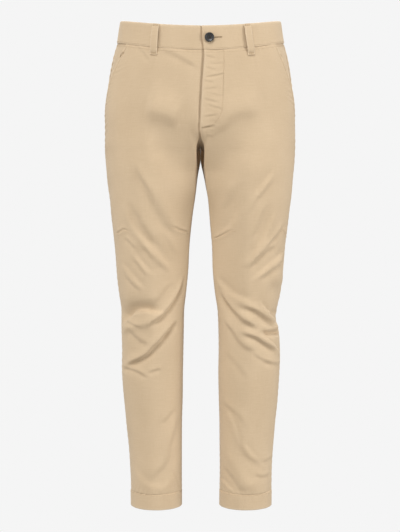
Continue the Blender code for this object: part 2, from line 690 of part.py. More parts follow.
def make_button(material, parent):
    """The waist button: a dished disc with a raised rim and four holes."""
    turn = np.array([BUTTON_TURN])
    drop = band_drop(turn, BUTTON_BAND_SHARE)
    outer, inner = cloth_layer(1, turn, drop, 0.0, BAND_CLOTH, layer_relief=no_relief)
    facing = Vector((outer - inner)[0].tolist()).normalized()
    seat = Vector(outer[0].tolist()) + facing * BUTTON_STAND
    shape = bmesh.new()
    corners = []
    for step in BUTTON_PROFILE:
        across = step.radius_share * BUTTON_RADIUS * MM
        up = step.height_share * BUTTON_THICKNESS * MM
        corners.append(shape.verts.new((across, 0.0, up)))
    edges = [shape.edges.new(pair) for pair in zip(corners, corners[1:])]
    bmesh.ops.spin(
        shape, geom=corners + edges, cent=(0, 0, 0), axis=(0, 0, 1), angle=2 * math.pi, steps=BUTTON_STEPS
    )
    bmesh.ops.remove_doubles(shape, verts=shape.verts, dist=WELD_DISTANCE)
    mesh = bpy.data.meshes.new("waist_button")
    shape.to_mesh(mesh)
    shape.free()
    button = place(mesh, "waist_button", material, parent)
    turned = facing.to_track_quat("Z", "X").to_matrix().to_4x4()
    button.matrix_local = Matrix.Translation(seat * MM) @ turned

    cutter_shape = bmesh.new()
    for quarter in range(4):
        angle = math.pi / 4 + quarter * math.pi / 2
        spot = Vector((math.cos(angle), math.sin(angle), 0.0)) * HOLE_RING_RADIUS * MM
        bmesh.ops.create_cone(
            cutter_shape,
            cap_ends=True,
            segments=HOLE_SEGMENTS,
            radius1=HOLE_RADIUS * MM,
            radius2=HOLE_RADIUS * MM,
            depth=3 * BUTTON_THICKNESS * MM,
            matrix=Matrix.Translation(spot),
        )
    cutter_mesh = bpy.data.meshes.new("button_holes")
    cutter_shape.to_mesh(cutter_mesh)
    cutter_shape.free()
    cutter = bpy.data.objects.new("button_holes", cutter_mesh)
    bpy.context.scene.collection.objects.link(cutter)
    cutter.parent = button
    cutter.hide_render = True
    cutter.display_type = "WIRE"
    holes = button.modifiers.new("holes", "BOOLEAN")
    holes.operation = "DIFFERENCE"
    holes.solver = "EXACT"
    holes.object = cutter


def make_trousers():
    for old in list(bpy.data.objects):
        bpy.data.objects.remove(old)
    twill = make_material("beige_twill", TWILL_COLOUR, 0.85)
    horn = make_material("dark_button", BUTTON_COLOUR, 0.4)
    waist = bpy.data.objects.new("waist_centre", None)
    bpy.context.scene.collection.objects.link(waist)
    for side in (-1, 1):
        make_front(side, twill, waist)
        make_back(side, twill, waist)
        make_band(side, twill, waist)
        make_facing(side, twill, waist)
        make_hem(side, twill, waist)
    make_placket(twill, waist)
    for loop in BELT_LOOPS:
        make_loop(loop, twill, waist)
    make_button(horn, waist)


make_trousers()
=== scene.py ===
"""Beige chino trousers in the round shape that they have when worn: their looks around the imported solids.

The sizes of the cut are in millimetres. A place on the cloth is a turn and a drop. The turn is 0 at the
centre front or the inseam, 1 at the side seam, and 2 at the centre back or the inseam again, and tables
give it in degrees, 180 to the half turn. The drop runs down from the top edge of the waistband at the
side. Side -1 is the wearer's right, and side 1 the left.
"""

import math
from collections import namedtuple

import bmesh
import bpy
import numpy as np
from mathutils import Matrix, Vector
from mathutils.bvhtree import BVHTree


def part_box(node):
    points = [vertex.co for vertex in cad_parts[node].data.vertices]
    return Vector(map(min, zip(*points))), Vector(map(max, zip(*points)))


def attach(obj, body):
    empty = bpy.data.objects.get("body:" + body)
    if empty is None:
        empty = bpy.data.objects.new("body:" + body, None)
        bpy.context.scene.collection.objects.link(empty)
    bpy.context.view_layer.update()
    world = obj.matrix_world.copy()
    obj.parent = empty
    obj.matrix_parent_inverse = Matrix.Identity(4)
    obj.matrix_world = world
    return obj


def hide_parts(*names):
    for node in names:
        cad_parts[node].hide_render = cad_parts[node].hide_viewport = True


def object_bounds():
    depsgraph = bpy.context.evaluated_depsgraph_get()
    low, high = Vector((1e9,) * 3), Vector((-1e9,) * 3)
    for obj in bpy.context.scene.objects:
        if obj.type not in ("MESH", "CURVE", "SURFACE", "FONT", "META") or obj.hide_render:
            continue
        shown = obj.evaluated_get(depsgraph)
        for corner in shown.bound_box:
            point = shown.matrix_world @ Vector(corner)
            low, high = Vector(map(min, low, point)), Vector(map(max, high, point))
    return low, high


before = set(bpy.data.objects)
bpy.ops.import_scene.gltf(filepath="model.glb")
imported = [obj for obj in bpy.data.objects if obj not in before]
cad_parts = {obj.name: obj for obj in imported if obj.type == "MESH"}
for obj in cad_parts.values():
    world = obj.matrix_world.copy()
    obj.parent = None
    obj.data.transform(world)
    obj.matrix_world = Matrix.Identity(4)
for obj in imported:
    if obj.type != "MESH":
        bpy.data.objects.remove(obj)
cad_low, cad_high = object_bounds()
bpy.ops.object.select_all(action="DESELECT")

# Leg panels
# Two fronts and two backs, cut from beige cotton twill and sewn together at the sides, the inseams and the
# middle. They keep the round form of the hips and legs that fill them, with creases at hip, knee and calf.
MM = 0.001
SIDES = ((-1, "right"), (1, "left"))
BAND_HALF_HEIGHT = 20
BAND_HEIGHT_SIDE = 40
BAND_HEIGHT_FRONT = 44
BAND_HEIGHT_BACK = 42
TOP_DIP_FRONT = 13.4
TOP_DIP_BACK = 2.5
LEVEL_DROP = 150
CROTCH_DROP = 253
HEM_LINE = 913
HEM_DROP = 943
CENTRE_ARC = 178
SIDE_ARC = 240
HIP_ROUNDNESS = 0.12
HIP_BUNCHING = 0.3
SEAM_SLIT = 0.06
LEG_GAP = 0.1
PROBE = 1e-3

# The fork, where the hips part into two legs, and the inner thighs below it
FORK_FROM_DROP = 145
FORK_TO_DROP = 330
FORK_POWER = 3
SINK_TO_DROP = 292
SEAM_DIVE_POWER = 11
SEAM_DIVE_TURN = 0.14
CLEFT_BLEND_TURN = 0.4
BACK_FORK_DROP = 93
BACK_FORK_POWER = 4
BACK_LAG = 40
BACK_LAG_TURNS = (0.12, 0.62)
THIGH_SQUARING = 0.45
SQUARING_FADE = (CROTCH_DROP, 620)
INNER_CORNER = 0.5
CORNER_FADE = (430, 720)
SLANT_SOFTNESS = 0.4

# The slit below the fly, and the cleft that it widens into
SLIT_OPENS = (190, 206)
SLIT_LEAN = 2.6
SLIT_DEPTH = 4.5
SLIT_HALF_WIDTH = 2.8
CLEFT_OPENS = (185, 250)
CLEFT_DEPTH = 6.0
CLEFT_HALF_WIDTH = 4.6
CLEFT_FADE = (263, 309)
CLEFT_FLARE = 6.0
FLARE_FADE = (266, 332)

# The lap of the fly, and the slanted pocket mouths
UNDERLAP = 16
UNDERLAP_FADE = (128, 158)
LAP_DEPTH = 3.4
LAP_SLOPE = (1.5, 6.0)
LAP_FADE = (184, 212)
SEWN_BELOW_FLY = (208, 222)
POCKET_TOP_CUT = 64
POCKET_TOP_DROP = 40
POCKET_END_DROP = 185
POCKET_UNDERLAP = 14
POCKET_GAPE = 2.0
SEWN_BELOW_POCKET = (179, 189)
MOUTH_FADE = (185, 189)


def as_columns(names, *rows):
    """The named columns of a table, each as a list of numbers."""
    return {name: np.array(values, float) for name, values in zip(names.split(), zip(*rows))}


OUTLINE = as_columns(
    "drop right_outer right_inner left_outer left_inner",
    (0, 155.2, 0, 155.6, 0),
    (39, 161.3, 0, 161.6, 0),
    (73, 170.5, 0, 169.9, 0),
    (120, 179.3, 0, 177.6, 0),
    (166, 185.5, 0, 183.0, 0),
    (212, 185.7, 0, 183.7, 0),
    (253, 185.5, 0.0, 183.3, 0.0),
    (267, 184.5, 0.0, 182.4, 0.0),
    (294, 182.3, 4.4, 180.3, 5.5),
    (340, 176.8, 10.7, 176, 14.3),
    (387, 172.1, 16.8, 170.7, 18.3),
    (434, 167, 21.4, 165.1, 22.3),
    (481, 163.8, 23.7, 161.3, 23.9),
    (528, 158.1, 28.3, 155.6, 29),
    (557, 153.5, 31.5, 148.9, 33.1),
    (574, 153.5, 32.0, 146.7, 34.1),
    (593, 153.8, 32.3, 151.6, 34.8),
    (634, 153, 33.2, 155.4, 35.4),
    (681, 154.3, 34.1, 155, 34.8),
    (728, 150.5, 34.6, 152.1, 35.7),
    (776, 145.6, 36, 147.3, 37),
    (823, 141, 36.3, 143.1, 37.4),
    (871, 138.3, 36.5, 140.7, 37.9),
    (943, 137, 36.3, 139.9, 36.9),
)
PROFILE = as_columns(
    "drop hip_front hip_back leg_front leg_back side_seam inseam",
    (0, 101, 105, 99, 104, 6, -24),
    (39, 105, 110, 100, 106, 8, -24),
    (90, 109, 120, 102, 108, 10, -24),
    (140, 110, 129, 103, 108, 12, -24),
    (180, 109, 133, 103, 107, 12, -24),
    (220, 107, 130, 102, 104, 11, -24),
    (253, 105, 122, 101, 99, 9, -22),
    (294, 105, 122, 99, 87, 6, -14),
    (340, 105, 122, 96, 77, 3, -7),
    (400, 105, 122, 90, 69, 0, -4),
    (460, 105, 122, 85, 64, -2, -4),
    (520, 105, 122, 81, 60, -4, -5),
    (580, 105, 122, 77, 58, -3, -4),
    (640, 105, 122, 70, 64, 0, -1),
    (700, 105, 122, 66, 69, 3, 2),
    (770, 105, 122, 62, 70, 5, 4),
    (850, 105, 122, 58, 69, 6, 5),
    (943, 105, 122, 56, 68, 6, 6),
)
CORNER_REACH = as_columns(
    "drop reach",
    (0, 0.53),
    (253, 0.53),
    (300, 0.49),
    (360, 0.43),
    (445, 0.40),
    (620, 0.40),
    (943, 0.40),
)
FLY_EDGE = as_columns(
    "drop offset",
    (0, 3.0),
    (40, 4.8),
    (62, 7.4),
    (90, 5.8),
    (125, 3.4),
    (160, 1.8),
    (215, 0.4),
    (253, 0.0),
)

# A path gives turn, drop, turn, drop and so on, from smaller to larger turns. A crease has a height, below 0
# for a trough, and the widths of its flanks above and below the path. A fold is raised above its path and
# sunk below it, or the other way round where its height is below 0, with a steep core between.
Crease = namedtuple("Crease", "height above below path")
Fold = namedtuple("Fold", "height core spread path")
RIGHT_CREASES = [
    # hip and thigh
    Crease(7.6, 30, 20, (30, 190, 41, 182, 54, 174, 68, 170, 84, 164)),
    Fold(1.7, 5.0, 12, (3, 96, 22, 84, 44, 70, 76, 52)),
    Fold(2.4, 1.4, 4, (130, 58, 139, 66, 149, 76)),
    Fold(1.0, 2.6, 7, (82, 80, 98, 60, 114, 44)),
    Fold(4.0, 4.6, 13, (65, 420, 76, 392, 81, 374, 86, 354, 92, 328, 101, 300, 109, 266)),
    Fold(2.2, 5.0, 14, (74, 460, 89, 416, 102, 388, 110, 368, 121, 338)),
    Fold(-3.0, 5.0, 12, (66, 487, 80, 458, 89, 432, 101, 416, 117, 386, 126, 338)),
    Fold(2.6, 3.4, 8, (74, 483, 89, 450, 106, 424)),
    Fold(2.0, 2.8, 7, (99, 487, 110, 466, 120, 452)),
    Fold(-1.8, 4.0, 9, (100, 515, 120, 489, 144, 462)),
    Fold(1.4, 3.4, 8, (109, 517, 138, 485)),
    Fold(1.6, 2.8, 7, (112, 436, 133, 412)),
    Fold(-1.6, 3.6, 9, (84, 489, 99, 470, 122, 434)),
    Fold(1.4, 3.6, 9, (65, 450, 75, 422, 83, 398)),
    # knee
    Crease(-9.5, 14, 4, (69, 553, 88, 553, 105, 551, 125, 555, 141, 567, 162, 581)),
    Crease(3.2, 11, 8, (79, 573, 105, 579, 132, 585, 163, 599)),
    Fold(6.0, 2.8, 10, (45, 485, 50, 505, 59, 529, 69, 549, 81, 567, 101, 587)),
    Fold(1.6, 3.6, 9, (69, 497, 78, 519, 87, 541)),
    Fold(6.0, 3.2, 11, (50, 571, 59, 585, 68, 597, 84, 619, 96, 635, 112, 647, 152, 667)),
    Crease(-3.4, 5, 7, (43, 579, 61, 591, 77, 611)),
    Fold(1.5, 2.2, 6, (107, 587, 130, 579, 156, 573)),
    Fold(2.4, 5.0, 11, (92, 621, 119, 607, 141, 585)),
    Fold(2.2, 3.0, 8, (94, 685, 121, 671, 162, 667)),
    Fold(1.7, 3.0, 7, (71, 667, 85, 669, 97, 675)),
    # shin
    Fold(1.5, 4.8, 11, (41, 741, 54, 757, 76, 775)),
    Fold(2.6, 6.8, 16, (31, 755, 43, 789, 55, 817, 60, 841, 72, 859, 108, 889)),
    Fold(-1.5, 6.0, 13, (47, 859, 66, 893, 90, 895, 115, 887, 146, 857)),
    Fold(1.2, 4.0, 9, (21, 917, 34, 889, 55, 859)),
    # back of the hips, seat, hollow of the knee and calf
    Crease(-1.4, 10, 12, (205, 128, 236, 142, 268, 150)),
    Crease(-1.2, 9, 9, (300, 92, 316, 118, 330, 150)),
    Crease(-5.6, 11, 14, (240, 306, 270, 298, 298, 284, 324, 266)),
    Crease(-3.8, 11, 11, (262, 352, 290, 336, 318, 322, 332, 310)),
    Crease(2.2, 9, 9, (250, 330, 284, 314, 316, 294)),
    Crease(-2.4, 8, 8, (222, 404, 238, 430, 262, 452)),
    Crease(-3.6, 7, 9, (252, 508, 280, 514, 304, 522, 324, 528)),
    Crease(-2.4, 6, 6, (214, 522, 232, 530, 248, 534)),
    Fold(2.9, 2.6, 10, (206, 546, 230, 556, 262, 566, 302, 566)),
    Crease(2.8, 7, 7, (212, 570, 244, 582, 284, 584)),
    Fold(3.0, 2.6, 9, (198, 592, 226, 598, 256, 608, 286, 604)),
    Crease(2.4, 6, 6, (222, 616, 252, 624, 296, 616)),
    Fold(2.4, 2.6, 9, (232, 640, 262, 642, 292, 633, 324, 624)),
    Crease(-2.2, 6, 6, (204, 652, 224, 662, 246, 668)),
    Crease(-3.2, 11, 11, (222, 724, 244, 750, 288, 790)),
    Crease(-2.8, 10, 10, (250, 884, 282, 858, 306, 824)),
]
LEFT_CREASES = [
    # hip and thigh
    Crease(4.6, 30, 16, (34, 230, 33, 202, 45, 178, 60, 170, 78, 168, 96, 166)),
    Fold(-2.3, 4.6, 12, (85, 374, 95, 338, 109, 310, 125, 274)),
    Fold(2.4, 4.2, 11, (84, 376, 95, 344, 106, 326, 122, 296)),
    Fold(1.5, 4.6, 11, (64, 366, 75, 334, 81, 302)),
    Fold(-1.6, 4.4, 10, (63, 408, 75, 384, 82, 352)),
    Fold(1.9, 4.6, 11, (92, 420, 103, 386, 107, 368, 115, 342)),
    Fold(-2.8, 4.6, 11, (86, 470, 99, 440, 108, 420, 116, 396, 127, 356)),
    Fold(2.8, 3.8, 9, (107, 442, 125, 420, 136, 406, 151, 384)),
    Fold(4.0, 4.8, 11, (88, 477, 101, 454, 110, 444, 122, 436, 138, 426)),
    Fold(-2.2, 4.0, 10, (89, 499, 112, 477, 128, 462, 166, 440)),
    Fold(2.6, 3.6, 9, (104, 495, 121, 481, 133, 473, 165, 458)),
    Fold(4.0, 15, 26, (120, 497, 142, 505, 177, 515)),
    Fold(1.7, 1.3, 3.5, (3, 204, 14, 202, 26, 198)),
    Fold(0.6, 1.8, 5, (13, 216, 23, 220, 32, 222)),
    # knee
    Fold(-2.8, 5.0, 11, (43, 489, 66, 517, 80, 529, 97, 537)),
    Fold(6.2, 5.0, 12, (47, 515, 55, 531, 66, 549, 76, 563, 87, 575, 110, 589)),
    Fold(6.4, 5.2, 10, (73, 539, 88, 547, 105, 555, 127, 569, 164, 589)),
    Fold(-1.8, 2.2, 6, (107, 527, 124, 551, 178, 585)),
    Crease(-9.0, 5, 5, (112, 593, 126, 599, 140, 599, 180, 601)),
    Crease(-3.0, 6, 5, (141, 559, 177, 565)),
    Crease(1.6, 6, 6, (141, 585, 177, 593)),
    Fold(5.6, 4.6, 9, (74, 595, 89, 601, 103, 607, 119, 619, 150, 637)),
    Fold(-2.0, 2.4, 6, (106, 593, 126, 611, 171, 645)),
    Fold(3.0, 5.4, 12, (45, 571, 62, 593, 71, 611, 83, 625, 102, 635)),
    Fold(1.9, 3.0, 8, (110, 651, 132, 657, 177, 665)),
    Fold(1.4, 3.0, 8, (93, 633, 110, 647, 137, 657)),
    Fold(1.2, 5.4, 12, (40, 633, 67, 659, 88, 689)),
    # shin
    Fold(1.5, 4.8, 11, (25, 733, 52, 747, 70, 759, 85, 781)),
    Fold(-2.2, 4.0, 9, (42, 747, 60, 775, 69, 799, 78, 825)),
    Fold(1.9, 6.0, 14, (64, 783, 78, 819, 98, 843, 139, 855)),
    Fold(-1.1, 3.8, 9, (76, 805, 104, 837, 143, 867)),
    Crease(3.2, 12, 12, (42, 825, 70, 867, 90, 891, 123, 903)),
    Fold(2.1, 5.4, 13, (27, 857, 59, 881, 75, 899, 93, 909)),
    Fold(1.7, 2.6, 7, (105, 871, 125, 879, 157, 877)),
    Fold(1.4, 2.6, 7, (124, 853, 145, 847, 175, 845)),
    Fold(-1.5, 2.6, 7, (16, 889, 39, 895, 62, 909)),
    # back of the hips, seat, hollow of the knee and calf
    Crease(-1.4, 11, 10, (206, 120, 232, 138, 262, 144)),
    Crease(-1.2, 9, 9, (304, 98, 318, 126, 334, 156)),
    Crease(-5.4, 12, 14, (232, 298, 264, 294, 296, 280, 320, 262)),
    Crease(-4.2, 11, 11, (266, 352, 294, 334, 312, 318, 328, 302)),
    Crease(2.2, 9, 9, (246, 322, 280, 310, 312, 290)),
    Crease(-2.6, 8, 8, (218, 412, 240, 436, 258, 462)),
    Crease(-3.4, 8, 8, (240, 512, 268, 519, 294, 524, 318, 520)),
    Fold(2.7, 2.6, 10, (202, 556, 232, 560, 264, 558, 294, 550)),
    Crease(2.6, 7, 7, (210, 574, 246, 576, 292, 578)),
    Fold(3.1, 2.6, 9, (210, 586, 240, 592, 276, 606, 312, 610)),
    Crease(2.2, 6, 6, (218, 618, 256, 624, 304, 628)),
    Fold(2.3, 2.6, 9, (222, 648, 252, 650, 278, 642, 302, 634)),
    Crease(-2.0, 6, 6, (206, 668, 222, 676, 240, 678)),
    Crease(-3.4, 11, 11, (238, 716, 262, 742, 298, 776)),
    Crease(-2.6, 10, 10, (234, 876, 270, 860, 298, 832)),
]
CREASES = {-1: RIGHT_CREASES, 1: LEFT_CREASES}
CREASE_TAPER = 0.26
CREASE_REACH = 2.6

# Puckers across the fly, between its edge and its line of stitches
Pucker = namedtuple("Pucker", "drop height from_turn to_turn tilt")
FLY_PUCKERS = (
    Pucker(58, 0.63, 2, 30, 1),
    Pucker(71, 0.84, 1, 22, 2),
    Pucker(83, 0.77, 12, 37, -1),
    Pucker(93, 0.7, 2, 24, 3),
    Pucker(106, 1.54, 2, 38, -4),
    Pucker(117, 0.77, 1, 20, 2),
    Pucker(130, 0.91, 1, 28, -2),
    Pucker(142, 0.7, 12, 37, 3),
    Pucker(153, 0.98, 2, 30, 4),
    Pucker(165, 0.91, 8, 37, 5),
    Pucker(181, 1.12, 2, 30, -3),
)
for pucker in FLY_PUCKERS:
    trail = (
        (pucker.from_turn, pucker.drop - pucker.tilt),
        ((pucker.from_turn + pucker.to_turn) / 2, pucker.drop),
        (pucker.to_turn, pucker.drop + pucker.tilt),
    )
    LEFT_CREASES.append(Fold(pucker.height, 1.5, 3.6, trail))

# Short darts that shape each knee: sewn lines from the side seam and from the inseam
KNEE_DARTS = {
    -1: (
        ((41, 406), (61, 400), (69, 394), (76, 392)),
        ((124, 402), (133, 398), (140, 402), (153, 408)),
    ),
    1: (
        ((41, 418), (54, 414), (65, 408), (73, 400), (79, 398)),
        ((142, 398), (156, 406), (177, 414)),
    ),
}
for side, darts in KNEE_DARTS.items():
    for trail in darts:
        CREASES[side] += [Crease(-2.3, 1.7, 2.2, trail), Crease(1.3, 6, 6, trail)]

# Line of stitches that holds the fly, from the waistband down and round to its foot
FLY_STITCH = ((34.2, 58), (34.8, 78), (34.4, 120), (33.2, 162), (32.4, 174), (27, 190), (17, 200), (4, 205))
FLY_STITCH_GROOVE = Crease(-0.6, 1.3, 1.3, FLY_STITCH[::-1])
FLY_STITCH_TAPER = 0.04

# Lines of relief along the seams, edges and stitches: a height, below 0 for a groove, and a width
Relief = namedtuple("Relief", "height width")
SEAM_ROLL = Relief(-1.2, 1.9)
WAIST_SEAM = Relief(-1.5, 3.2)
WAIST_STITCHES = Relief(-0.35, 1.3)
HEM_SEAM = Relief(-0.45, 1.6)
MOUTH_STITCHES = Relief(-0.35, 1.2)
MOUTH_EDGE = Relief(0.5, 1.8)
MOUTH_EDGE_PLACE = 2.6
FLY_RIDGE = Relief(1.0, 6)
FLY_ROLL = Relief(-0.5, 0.8)
FLY_RIDGE_FADE = (170, 196)
STITCH_ROW = 6

# Puckers along the seams: their height, their pitch, and how far they reach
Puckering = namedtuple("Puckering", "height pitch reach")
SIDE_PUCKERS = Puckering(0.5, 13, 9)
CENTRE_PUCKERS = Puckering(0.35, 11, 8)
WAIST_PUCKERS = Puckering(0.5, 15, 10)
ABOVE_HEM_PUCKERS = Puckering(0.5, 12, 11)
ABOVE_HEM_SLANT = 0.6
PANEL_WEAR = (0.35, 3)
STRAIN_FROM = (66, 106)
STRAIN_TO = (225, 275)
STRAIN_HEIGHT = 0.85
STRAIN_PITCH = 11
STRAIN_LEAN = 0.34
STRAIN_AT_SEAM = 0.25
STRAIN_CORE = 8
STRAIN_REACH = 36
STRAIN_REACH_SPREAD = 12
FORK_CALM_DROP = 257
FORK_CALM_REACH = 30
FORK_SEAM_WIDTH = 5
FORK_PRESSED = (251, 261)
CALM_MIDDLE = 25

# A panel's rows and columns: stages that each end at a level or a share after so many even steps
PANEL_CLOTH = 1.0
PANEL_TOP_LEVEL = 36
PANEL_ROWS = (
    (60, 14), (222, 76), (256, 24), (380, 42), (430, 34), (500, 27), (690, 118), (900, 72), (HEM_LINE, 9)
)
EDGE_STEPS = np.array([0, 0.5, 1.1, 1.9, 3.0, 4.4, 5.4, 6.2, 7.2])
NEAR_EDGE = EDGE_STEPS / 190
FRONT_COLUMNS = ((0.160, 10), (0.222, 14), (1.0 - NEAR_EDGE[-1], 73))
BACK_COLUMNS = ((1.0 - NEAR_EDGE[-1], 67),)
POCKET_FROM_SHARE = 0.3
BEHIND_SEAM = 1e-6


def rise(value, start, end):
    """0 below the start, 1 above the end, and a soft slope between."""
    value = np.clip((value - start) / (end - start), 0.0, 1.0)
    return value * value * (3.0 - 2.0 * value)


def fall(value, start, end):
    """1 below the start, 0 above the end, and a soft slope between."""
    return 1.0 - rise(value, start, end)


def late_rise(drop, start, end, power):
    """0 down to one drop, 1 from another, with most of the rise just above the second."""
    gone = np.clip((drop - start) / (end - start), 0.0, 1.0)
    return gone ** power * (power + 1 - power * gone)


def mix(first, second, share):
    """The first value at share 0, the second at share 1."""
    return first * (1.0 - share) + second * share


def bell(distance, width):
    """1 in the middle, with flanks that die away on both sides."""
    return np.exp(-((distance / width) ** 2))


def unit(vectors):
    """Vectors of length 1 that point the same way."""
    return vectors / np.linalg.norm(vectors, axis=-1, keepdims=True)


def read_table(table, column, drop):
    """A column of a table at any drop, on a smooth curve through its rows."""
    knots, values = table["drop"], table[column]
    slopes = np.gradient(values, knots)
    drop = np.clip(drop, knots[0], knots[-1])
    index = np.clip(np.searchsorted(knots, drop, side="right") - 1, 0, len(knots) - 2)
    span = knots[index + 1] - knots[index]
    part = (drop - knots[index]) / span
    pulls = part * (1.0 - part) ** 2 * slopes[index] + part * part * (part - 1.0) * slopes[index + 1]
    return mix(values[index], values[index + 1], part * part * (3.0 - 2.0 * part)) + span * pulls


def outline(side, edge, drop):
    """How far the outer or the inner edge of a leg lies from the middle."""
    return read_table(OUTLINE, ("left_" if side > 0 else "right_") + edge, drop)


def hip_angle(turn):
    """The angle round the hips from the side seam, spaced so that the cloth is shared evenly."""
    share = 1.0 - np.abs(1.0 - turn)
    return math.pi / 2 * (1.0 - share * (1.0 - HIP_BUNCHING + HIP_BUNCHING * share))


def band_drop(turn, share):
    """The drop of a point of the waistband, from share 0 at its top edge to 1 at its seam."""
    to_centre = np.sin(hip_angle(turn)) ** 2
    dip = np.where(turn <= 1.0, TOP_DIP_FRONT, TOP_DIP_BACK)
    height = np.where(turn <= 1.0, BAND_HEIGHT_FRONT, BAND_HEIGHT_BACK) - BAND_HEIGHT_SIDE
    return dip * to_centre + share * (BAND_HEIGHT_SIDE + height * to_centre)


def panel_drop(turn, level):
    """The drop of a point on a row of a panel: the rows follow the waist seam and level out below it."""
    sag = band_drop(turn, 1.0) - BAND_HEIGHT_SIDE
    return level + sag * fall(level, BAND_HEIGHT_SIDE, LEVEL_DROP)


def inner_front(leg_angle, reach):
    """The inner front of a thigh: a wall runs forward to a corner, and the cloth slants out from there."""
    across = (1.0 - np.cos(np.minimum(leg_angle, math.pi / 2))) ** 2 / 2
    wall = 1.0 - np.clip(1.0 - leg_angle / INNER_CORNER, 0.0, 1.0) ** 2
    slant = np.hypot(1.0 - 2.0 * across, SLANT_SOFTNESS) - SLANT_SOFTNESS
    slant = slant / (math.hypot(1.0, SLANT_SOFTNESS) - SLANT_SOFTNESS)
    return across, wall * (1.0 - (1.0 - reach) * slant)


def garment_point(side, turn, drop):
    """A point of the outer face with no creases, in millimetres."""
    turn, drop = np.broadcast_arrays(turn, drop)
    outer = outline(side, "outer", drop)
    inner = outline(side, "inner", drop) + LEG_GAP / 2
    is_front = turn <= 1.0
    face = np.where(is_front, -1.0, 1.0)
    profile = {name: read_table(PROFILE, name, drop) for name in PROFILE}
    seam, inseam = profile["side_seam"], profile["inseam"]
    reach = np.where(is_front, profile["hip_front"] + seam, profile["hip_back"] - seam) - SEAM_SLIT / 2
    angle = hip_angle(turn)
    start = np.where(is_front, read_table(FLY_EDGE, "offset", drop), 0.0) * side + SEAM_SLIT / 2
    hip_across = start + (outer - start) * np.cos(angle)
    roundness = 1.0 + HIP_ROUNDNESS * np.cos(angle) ** 2
    hip_depth = seam + face * (SEAM_SLIT / 2 + reach * np.sin(angle) * roundness)

    leg_angle = math.pi * (1.0 - np.abs(1.0 - turn))
    is_inner = leg_angle < math.pi / 2
    corner = fall(drop, *CORNER_FADE) * is_front * is_inner
    squaring = THIGH_SQUARING * fall(drop, *SQUARING_FADE) * is_inner * ~is_front
    wall_across, wall_forward = inner_front(leg_angle, read_table(CORNER_REACH, "reach", drop))
    outward = (1.0 - np.cos(leg_angle) * (1.0 + squaring * np.sin(leg_angle) ** 2)) / 2
    outward = mix(outward, wall_across, corner)
    flare = CLEFT_FLARE * fall(drop, *FLARE_FADE) * is_front
    flare = flare * rise(leg_angle, 0, INNER_CORNER) * np.clip(1.0 - 2.0 * outward, 0.0, 1.0)
    leg_across = inner + (outer - inner) * outward + flare
    middle = (seam + inseam) / 2
    leg_reach = np.where(is_front, profile["leg_front"] + middle, profile["leg_back"] - middle)
    leg_reach = leg_reach - SEAM_SLIT / 2
    forward = mix(np.sin(leg_angle) * (1.0 + squaring * np.cos(leg_angle) ** 2), wall_forward, corner)
    leg_depth = inseam + (seam - inseam) * outward + face * (SEAM_SLIT / 2 + leg_reach * forward)

    from_centre = 1.0 - np.abs(1.0 - turn)
    front_share = late_rise(drop, FORK_FROM_DROP, FORK_TO_DROP, FORK_POWER)
    opened = np.maximum(rise(drop, *CLEFT_OPENS) - front_share, 0.0)
    front_share = front_share + opened * fall(from_centre, 0, CLEFT_BLEND_TURN)
    front_dive = late_rise(drop, FORK_FROM_DROP, SINK_TO_DROP, FORK_POWER)
    seam_dive = late_rise(drop, FORK_FROM_DROP, CROTCH_DROP, SEAM_DIVE_POWER)
    front_dive = mix(seam_dive, front_dive, rise(from_centre, 0, SEAM_DIVE_TURN))
    back_lag = BACK_LAG * rise(from_centre, *BACK_LAG_TURNS)
    back_share = late_rise(drop - back_lag, BACK_FORK_DROP, CROTCH_DROP, BACK_FORK_POWER)
    across = side * mix(hip_across, leg_across, np.where(is_front, front_share, back_share))
    depth = mix(hip_depth, leg_depth, np.where(is_front, front_dive, back_share))
    return np.stack([across, depth, BAND_HALF_HEIGHT - drop], axis=-1)


def outward_faces(side, turn, drop):
    """Unit vectors that point out of the smooth garment."""
    turn, drop = np.broadcast_arrays(turn, drop)
    turn_step = np.where(turn < np.where(turn <= 1.0, 0.5, 1.5), PROBE, -PROBE)
    here = garment_point(side, turn, drop)
    around = (garment_point(side, turn + turn_step, drop) - here) / turn_step[..., None]
    down = (garment_point(side, turn, drop + PROBE) - here) / PROBE
    return unit(-side * np.cross(around, down))


def mm_per_degree(side, drop):
    """How much cloth one degree of a turn takes up round a leg."""
    half_width = (outline(side, "outer", drop) - outline(side, "inner", drop)) / 2
    half_depth = (read_table(PROFILE, "leg_front", drop) + read_table(PROFILE, "leg_back", drop)) / 2
    return math.pi * np.hypot(half_width, half_depth) / math.sqrt(2) / 180


def smooth_trail(path, per_span=5):
    """More points along a path, on a smooth curve through those given."""
    path = np.array(path, float).reshape(-1, 2)
    ends = np.concatenate([[2 * path[0] - path[1]], path, [2 * path[-1] - path[-2]]])
    part = np.linspace(0.0, 1.0, per_span, endpoint=False)[:, None]
    spans = []
    for a, b, c, d in zip(ends, ends[1:], ends[2:], ends[3:]):
        bend = 2 * a - 5 * b + 4 * c - d + part * (3 * (b - c) + d - a)
        spans.append(b + 0.5 * part * (c - a + part * bend))
    return np.concatenate([*spans, path[-1:]])


